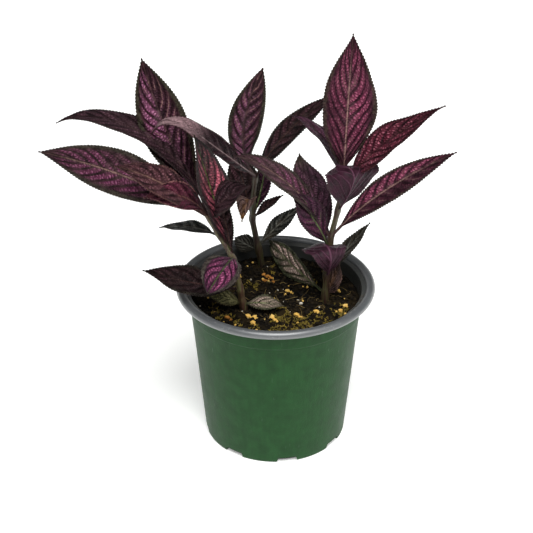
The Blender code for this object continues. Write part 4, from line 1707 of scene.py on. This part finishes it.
FIBRE_STRAW = (0.19, 0.135, 0.050)
TUFT_THREADS = 5
TUFT_SIDES = 3
TUFT_HEIGHTS = (0.0008, 0.0022)
TUFT_RADII = (0.00025, 0.00042)
TUFT_LEAN = 0.0006
TUFT_SPREAD = 0.0019
TUFT_END_RISE = 1.1
MOSS_YELLOW = (0.23, 0.165, 0.030)


def soil_level(x, y):
    """Return how far the soil's surface stands above or below its mean level."""
    swell = sum(
        share * math.sin(along_x * x + along_y * y + phase)
        for share, along_x, along_y, phase in SOIL_WAVES
    )
    edge = (math.hypot(x, y) / inner_radius(SOIL_TOP)) ** SOIL_EDGE_POWER
    return SOIL_SWELL * swell * (1.0 - edge) - SOIL_EDGE_SINK * edge


def soil_height(x, y):
    """Return the height of the soil's surface with its clods and grains."""
    spot = Vector((x, y, 0.0))
    clod = noise.noise(spot * CLOD_SCALE) + 0.5 * noise.noise(spot * CLOD_SCALE * CLOD_RATIO)
    grain = noise.noise(spot * GRAIN_SCALE)
    return SOIL_TOP + soil_level(x, y) + CLOD_HEIGHT * clod + GRAIN_HEIGHT * grain


def soil_finish(colour):
    """Make the soil's material: dark peat with browner patches."""
    finish = Finish("soil_peat", roughness=0.92)
    finish.set("Specular IOR Level", 0.1)
    patch = finish.step(finish.clouds(PEAT_PATCH_SCALE, 5.0), *PEAT_PATCHES)
    brown = finish.mix(patch, tuple(colour), PEAT_BROWN)
    grain = finish.spread(finish.clouds(PEAT_TONE_SCALE, 5.0), *PEAT_TONES)
    finish.set("Base Color", finish.dim(brown, grain))
    finish.bump(finish.clouds(PEAT_GRAIN_SCALE, 6.0), PEAT_BUMP)
    return finish.material


def make_soil_body(settings):
    """Make the soil: a filled body with an uneven top."""
    edge = inner_radius(SOIL_TOP - SOIL_EDGE_SINK) - SOIL_GAP
    foot_height = POT_FLOOR + SOIL_GAP
    section = [
        (edge * index / settings.rings, SOIL_TOP) for index in range(settings.rings + 1)
    ]
    section.append((inner_radius(POT_SHOULDER_HEIGHT) - SOIL_GAP, POT_SHOULDER_HEIGHT))
    section.append((inner_radius(foot_height) - SOIL_GAP, foot_height))
    section.append((0.0, foot_height))
    shape = turned(section, SOIL_SIDES)
    for vert in shape.verts:
        if vert.co.z > SOIL_TOP - SOIL_GAP:
            vert.co.z = soil_height(vert.co.x, vert.co.y)
    finish_piece("soil_body", shape, [soil_finish(settings.earth)], "soil")


def scatter(draws, reach=SOIL_REACH):
    """Return a random spot round the middle of the soil's top, even over its area."""
    radius = reach * math.sqrt(draws.random())
    azimuth = draws.uniform(0.0, 2.0 * math.pi)
    return radius * math.cos(azimuth), radius * math.sin(azimuth)


def add_crumb(shape, draws, x, y, size, flatness=0.7, sink=0.2):
    """Add one rough crumb to a bmesh, part sunk in the soil."""
    made = bmesh.ops.create_icosphere(shape, subdivisions=1, radius=size)["verts"]
    for vert in made:
        vert.co *= draws.uniform(*CRUMB_ROUGHNESS)
        vert.co.z *= flatness
    turn = Matrix.Rotation(draws.uniform(0.0, 2.0 * math.pi), 3, "Z")
    tilt = Matrix.Rotation(draws.uniform(-CRUMB_TILT, CRUMB_TILT), 3, "X")
    bmesh.ops.rotate(shape, cent=(0.0, 0.0, 0.0), matrix=turn @ tilt, verts=made)
    spot = Vector((x, y, soil_height(x, y) + size * (flatness - sink)))
    bmesh.ops.translate(shape, verts=made, vec=spot)


def bit_finish(name, first, second, roughness=0.8):
    """Make the material of small bits on the soil, in two tones."""
    finish = Finish(name, roughness=roughness)
    finish.set("Specular IOR Level", 0.15)
    tone = finish.step(finish.clouds(BIT_TONE_SCALE, 4.0), *BIT_TONES)
    grain = finish.spread(finish.clouds(BIT_GRAIN_SCALE, 4.0), *BIT_GRAINS)
    finish.set("Base Color", finish.dim(finish.mix(tone, first, second), grain))
    finish.bump(finish.clouds(BIT_BUMP_SCALE, 4.0), BIT_BUMP, strength=0.8)
    return finish.material


# Golden bits that show between the leaves: x, y, size
GOLDEN_BITS = (
    (0.010, 0.005, 0.0026), (0.013, 0.003, 0.0019), (0.008, 0.002, 0.0016),
    (-0.022, -0.037, 0.0027), (-0.017, -0.036, 0.0026), (-0.018, -0.046, 0.0024),
    (-0.003, -0.038, 0.0028), (0.000, -0.041, 0.0022), (0.017, -0.034, 0.0027),
    (0.021, -0.036, 0.0024), (0.018, -0.044, 0.0014), (0.033, -0.028, 0.0024),
    (0.053, -0.022, 0.0022), (0.057, -0.018, 0.0025), (0.057, -0.027, 0.0015),
    (-0.031, 0.027, 0.0018), (0.053, 0.006, 0.0015), (-0.050, -0.026, 0.0015),
    (-0.011, 0.026, 0.0013), (-0.003, 0.029, 0.0014), (-0.006, 0.023, 0.0010),
)
# Orange bits, most of them in one clump: x, y, size
ORANGE_BITS = (
    (-0.007, 0.028, 0.0022), (-0.010, 0.031, 0.0017), (-0.004, 0.025, 0.0020),
    (-0.008, 0.022, 0.0015), (-0.002, 0.021, 0.0016), (-0.039, -0.037, 0.0022),
    (-0.036, -0.038, 0.0017), (-0.005, 0.031, 0.0013), (-0.010, 0.025, 0.0014),
)
# White bits that show between the leaves: x, y, size
WHITE_BITS = (
    (0.004, -0.012, 0.0011), (0.021, -0.017, 0.0018), (0.019, -0.008, 0.0009),
    (0.044, -0.014, 0.0011), (-0.021, 0.025, 0.0010), (0.002, 0.007, 0.0008),
    (-0.007, 0.048, 0.0008), (-0.062, -0.017, 0.0010), (0.036, -0.021, 0.0009),
)
BIT_KINDS = (
    Bits(
        "soil_bark", "soil_bark_gold", GOLDEN_BITS, "bark", (0.68, 0.45, 0.13),
        flatness=0.75, sink=0.0, loose_flatness=0.8, chip=(0.6, -0.5, 0.6),
        strays=26, stray_sizes=(0.0007, 0.0014),
    ),
    Bits(
        "soil_bark_warm", "soil_bark_orange", ORANGE_BITS, "orange", (0.34, 0.14, 0.030),
        flatness=0.8, sink=-0.1, loose_flatness=0.8, chip=(-0.7, 0.6, 0.5),
    ),
    Bits(
        "soil_perlite", "soil_perlite_white", WHITE_BITS, "white", (0.58, 0.54, 0.44),
        flatness=0.85, sink=-0.1, loose_flatness=0.85,
        strays=14, stray_sizes=(0.0004, 0.0008),
    ),
)
# Patches of moss: x, y, reach, tufts
MOSS_PATCHES = (
    (0.010, -0.050, 0.016, 70), (0.032, -0.042, 0.014, 46), (-0.022, -0.052, 0.012, 34),
    (0.052, -0.024, 0.010, 26), (0.004, -0.036, 0.008, 26), (-0.038, -0.040, 0.010, 20),
    (-0.020, 0.016, 0.010, 20), (0.004, -0.020, 0.005, 14), (-0.050, -0.020, 0.008, 8),
    (0.030, 0.020, 0.006, 8), (0.000, 0.040, 0.008, 5), (0.024, -0.054, 0.008, 30),
)


def make_crumbs(settings):
    """Make the loose crumbs of peat over the whole top."""
    draws = random.Random(SOIL_SEED)
    pile = Pile()
    for _ in range(settings.crumbs):
        x, y = scatter(draws)
        add_crumb(pile.next(), draws, x, y, draws.uniform(*CRUMB_SIZES))
    material = bit_finish("soil_crumbs_brown", CRUMB_DARK, CRUMB_BROWN)
    finish_piece("soil_crumbs", pile.gather(), [material], sharp=25.0)


def make_bits(settings):
    """Make the golden and orange bits and the white grains, a piece for each kind."""
    draws = random.Random(SOIL_SEED + 1)
    for kind in BIT_KINDS:
        shape = bmesh.new()
        for x, y, size in kind.places:
            add_crumb(shape, draws, x, y, size, kind.flatness, kind.sink)
            if kind.chip:
                right, back, share = kind.chip
                x += right * size
                y += back * size
                add_crumb(shape, draws, x, y, share * size, kind.loose_flatness, 0.0)
        for _ in range(kind.strays):
            x, y = scatter(draws)
            size = draws.uniform(*kind.stray_sizes)
            add_crumb(shape, draws, x, y, size, kind.loose_flatness, 0.0)
        colour = tuple(getattr(settings, kind.colour))
        material = bit_finish(kind.material, colour, kind.second, 0.7)
        finish_piece(kind.piece, shape, [material], sharp=25.0)


def add_thread(shape, points, radius, sides=4):
    """Add a thin round thread along some points to a bmesh."""
    ring = bmesh.ops.create_circle(shape, cap_ends=True, segments=sides, radius=1.0)["verts"]
    face = ring[0].link_faces[0]
    for index, point in enumerate(points):
        ahead = points[min(index + 1, len(points) - 1)] - points[max(index - 1, 0)]
        turn = ahead.to_track_quat("Z", "Y")
        if index > 0:
            face = bmesh.ops.extrude_discrete_faces(shape, faces=[face])["faces"][0]
            ring = list(face.verts)
        for corner, vert in enumerate(ring):
            angle = 2.0 * math.pi * corner / sides
            around = Vector((math.cos(angle), math.sin(angle), 0.0)) * radius
            vert.co = point + turn @ around


def make_fibres():
    """Make the stringy fibres of peat that lie on the top."""
    draws = random.Random(SOIL_SEED + 2)
    pile = Pile()
    for _ in range(FIBRE_COUNT):
        x, y = scatter(draws, FIBRE_REACH)
        heading = draws.uniform(0.0, 2.0 * math.pi)
        curl = draws.uniform(-FIBRE_CURL, FIBRE_CURL)
        length = draws.uniform(*FIBRE_LENGTHS)
        points = []
        for index in range(FIBRE_STEPS + 1):
            rise = FIBRE_RISE + FIBRE_HUMP * math.sin(math.pi * index / FIBRE_STEPS)
            points.append(Vector((x, y, soil_height(x, y) + rise)))
            heading += FIBRE_TURN * curl
            x += math.cos(heading) * length / FIBRE_STEPS
            y += math.sin(heading) * length / FIBRE_STEPS
        add_thread(pile.next(), points, draws.uniform(*FIBRE_RADII))
    material = bit_finish("soil_fibre_straw", FIBRE_BROWN, FIBRE_STRAW)
    finish_piece("soil_fibres", pile.gather(), [material])


def add_tuft(pile, draws, base):
    """Add the short curled threads of one tuft of moss."""
    for _ in range(TUFT_THREADS):
        lean = Vector((draws.uniform(-1.0, 1.0), draws.uniform(-1.0, 1.0), 0.0))
        tall = draws.uniform(*TUFT_HEIGHTS)
        middle = base + lean * TUFT_LEAN + Vector((0.0, 0.0, tall))
        end = base + lean * TUFT_SPREAD + Vector((0.0, 0.0, tall * TUFT_END_RISE))
        radius = draws.uniform(*TUFT_RADII)
        add_thread(pile.next(), [base, middle, end], radius, TUFT_SIDES)


def make_moss(settings):
    """Make the moss: patches of short curled tufts."""
    draws = random.Random(SOIL_SEED + 3)
    pile = Pile()
    for centre_x, centre_y, reach, tufts in MOSS_PATCHES:
        for _ in range(tufts):
            right, back = scatter(draws, reach)
            x = centre_x + right
            y = centre_y + back
            if math.hypot(x, y) <= SOIL_REACH:
                add_tuft(pile, draws, Vector((x, y, soil_height(x, y))))
    material = bit_finish("soil_moss_green", tuple(settings.moss), MOSS_YELLOW)
    finish_piece("soil_moss", pile.gather(), [material])


# Stage

FLOOR_REACH = 6.0
FLOOR_SIDES = 96
FLOOR_WALL_RISE = 0.8
FLOOR_TONE_SCALE = 3.0
FLOOR_TONES = (0.985, 1.0)
SUN_ANGLE = 40.0
SUN_PLACE = (0.05, -0.55, 1.0)
FILL_PLACE = (1.1, -0.7, 0.9)
FILL_AIM = (0.0, 0.0, 0.15)
FILL_SIZE = 0.9
CAMERA_SENSOR = 36.0


def make_floor(settings):
    """Make the plain floor that the pot stands on, with a low wall far off all round."""
    shape = bmesh.new()
    bmesh.ops.create_circle(shape, cap_ends=True, segments=FLOOR_SIDES, radius=FLOOR_REACH)
    made = bmesh.ops.extrude_edge_only(shape, edges=list(shape.edges))["geom"]
    lifted = [part for part in made if isinstance(part, bmesh.types.BMVert)]
    bmesh.ops.translate(shape, verts=lifted, vec=(0.0, 0.0, FLOOR_WALL_RISE))
    mesh = bpy.data.meshes.new("floor")
    shape.to_mesh(mesh)
    shape.free()
    floor = bpy.data.objects.new("floor", mesh)
    bpy.context.scene.collection.objects.link(floor)
    finish = Finish("floor_pale", roughness=0.6)
    tone = finish.spread(finish.clouds(FLOOR_TONE_SCALE), *FLOOR_TONES)
    finish.set("Base Color", finish.dim(tuple(settings.floor), tone))
    finish.set("Emission Color", WHITE)
    finish.set("Emission Strength", settings.glow)
    mesh.materials.append(finish.material)


def hang_light(name, data, aim):
    """Put a light in the scene, turned the way that it shines."""
    light = bpy.data.objects.new(name, data)
    light.rotation_mode = "QUATERNION"
    light.rotation_quaternion = aim.to_track_quat("-Z", "Y")
    bpy.context.scene.collection.objects.link(light)
    return light


def make_fill(power):
    """Hang a soft square lamp that looks at the plant from the right."""
    data = bpy.data.lights.new("fill", "AREA")
    data.shape = "SQUARE"
    data.size = FILL_SIZE
    data.energy = power
    lamp = hang_light("fill", data, Vector(FILL_AIM) - Vector(FILL_PLACE))
    lamp.location = FILL_PLACE


def make_sun(strength):
    """Hang a broad soft sun above and in front."""
    data = bpy.data.lights.new("key", "SUN")
    data.energy = strength
    data.angle = math.radians(SUN_ANGLE)
    hang_light("key", data, -Vector(SUN_PLACE))


def make_sky(strength):
    """Light the scene softly from all round, and keep its colours as they are."""
    world = bpy.data.worlds.new("soft_room")
    world.use_nodes = True
    sky = world.node_tree.nodes["Background"]
    sky.inputs["Color"].default_value = (*WHITE, 1.0)
    sky.inputs["Strength"].default_value = strength
    bpy.context.scene.world = world
    bpy.context.scene.view_settings.view_transform = "Standard"


def make_camera(settings):
    """Set the camera at the height and distance it was fitted to."""
    data = bpy.data.cameras.new("camera")
    data.sensor_width = CAMERA_SENSOR
    data.lens = settings.lens
    camera = bpy.data.objects.new("camera", data)
    camera.location = settings.camera
    camera.rotation_euler = (0.5 * math.pi - settings.pitch, 0.0, settings.yaw)
    bpy.context.scene.collection.objects.link(camera)
    bpy.context.scene.camera = camera


class PLANT_OT_pot(bpy.types.Operator):
    """Build the nursery pot"""

    bl_idname = "plant.pot"
    bl_label = "Pot"

    def execute(self, context):
        make_pot(context.scene.plant_pot)
        return {"FINISHED"}


class PLANT_OT_soil(bpy.types.Operator):
    """Build the soil with its crumbs, bits, fibres and moss"""

    bl_idname = "plant.soil"
    bl_label = "Soil"

    def execute(self, context):
        settings = context.scene.plant_soil
        make_soil_body(settings)
        make_crumbs(settings)
        make_bits(settings)
        make_fibres()
        make_moss(settings)
        return {"FINISHED"}


class PLANT_OT_stems(bpy.types.Operator):
    """Build the stalks and their leaves"""

    bl_idname = "plant.stems"
    bl_label = "Stems and leaves"

    def execute(self, context):
        for stem in STEMS.values():
            make_stalk(stem)
            make_leaves(stem, context.scene.plant_leaf)
        return {"FINISHED"}


class PLANT_OT_stage(bpy.types.Operator):
    """Set the floor, the lights and the camera"""

    bl_idname = "plant.stage"
    bl_label = "Stage"

    def execute(self, context):
        settings = context.scene.plant_stage
        make_floor(settings)
        make_sun(settings.key)
        make_fill(settings.fill)
        make_sky(settings.sky)
        make_camera(settings)
        return {"FINISHED"}


class PLANT_PT_sidebar(bpy.types.Panel):
    """List the plant's operators in the sidebar"""

    bl_idname = "PLANT_PT_sidebar"
    bl_label = "Potted plant"
    bl_space_type = "VIEW_3D"
    bl_region_type = "UI"
    bl_category = "Plant"

    def draw(self, context):
        for operator in OPERATORS:
            self.layout.operator(operator.bl_idname)


OPERATORS = (PLANT_OT_pot, PLANT_OT_soil, PLANT_OT_stems, PLANT_OT_stage)
SETTINGS = {
    "plant_pot": PotSettings,
    "plant_soil": SoilSettings,
    "plant_leaf": LeafSettings,
    "plant_stage": StageSettings,
}
CLASSES = (*SETTINGS.values(), *OPERATORS, PLANT_PT_sidebar)


def register():
    """Register the classes and hang the settings on the scene."""
    for item in CLASSES:
        bpy.utils.register_class(item)
    for name, group in SETTINGS.items():
        setattr(bpy.types.Scene, name, bpy.props.PointerProperty(type=group))


def unregister():
    """Take the settings and the classes away again."""
    for name in SETTINGS:
        delattr(bpy.types.Scene, name)
    for item in reversed(CLASSES):
        bpy.utils.unregister_class(item)


def main():
    """Register the classes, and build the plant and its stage."""
    register()
    bpy.ops.plant.pot()
    bpy.ops.plant.soil()
    bpy.ops.plant.stems()
    bpy.ops.plant.stage()


if __name__ == "__main__":
    main()
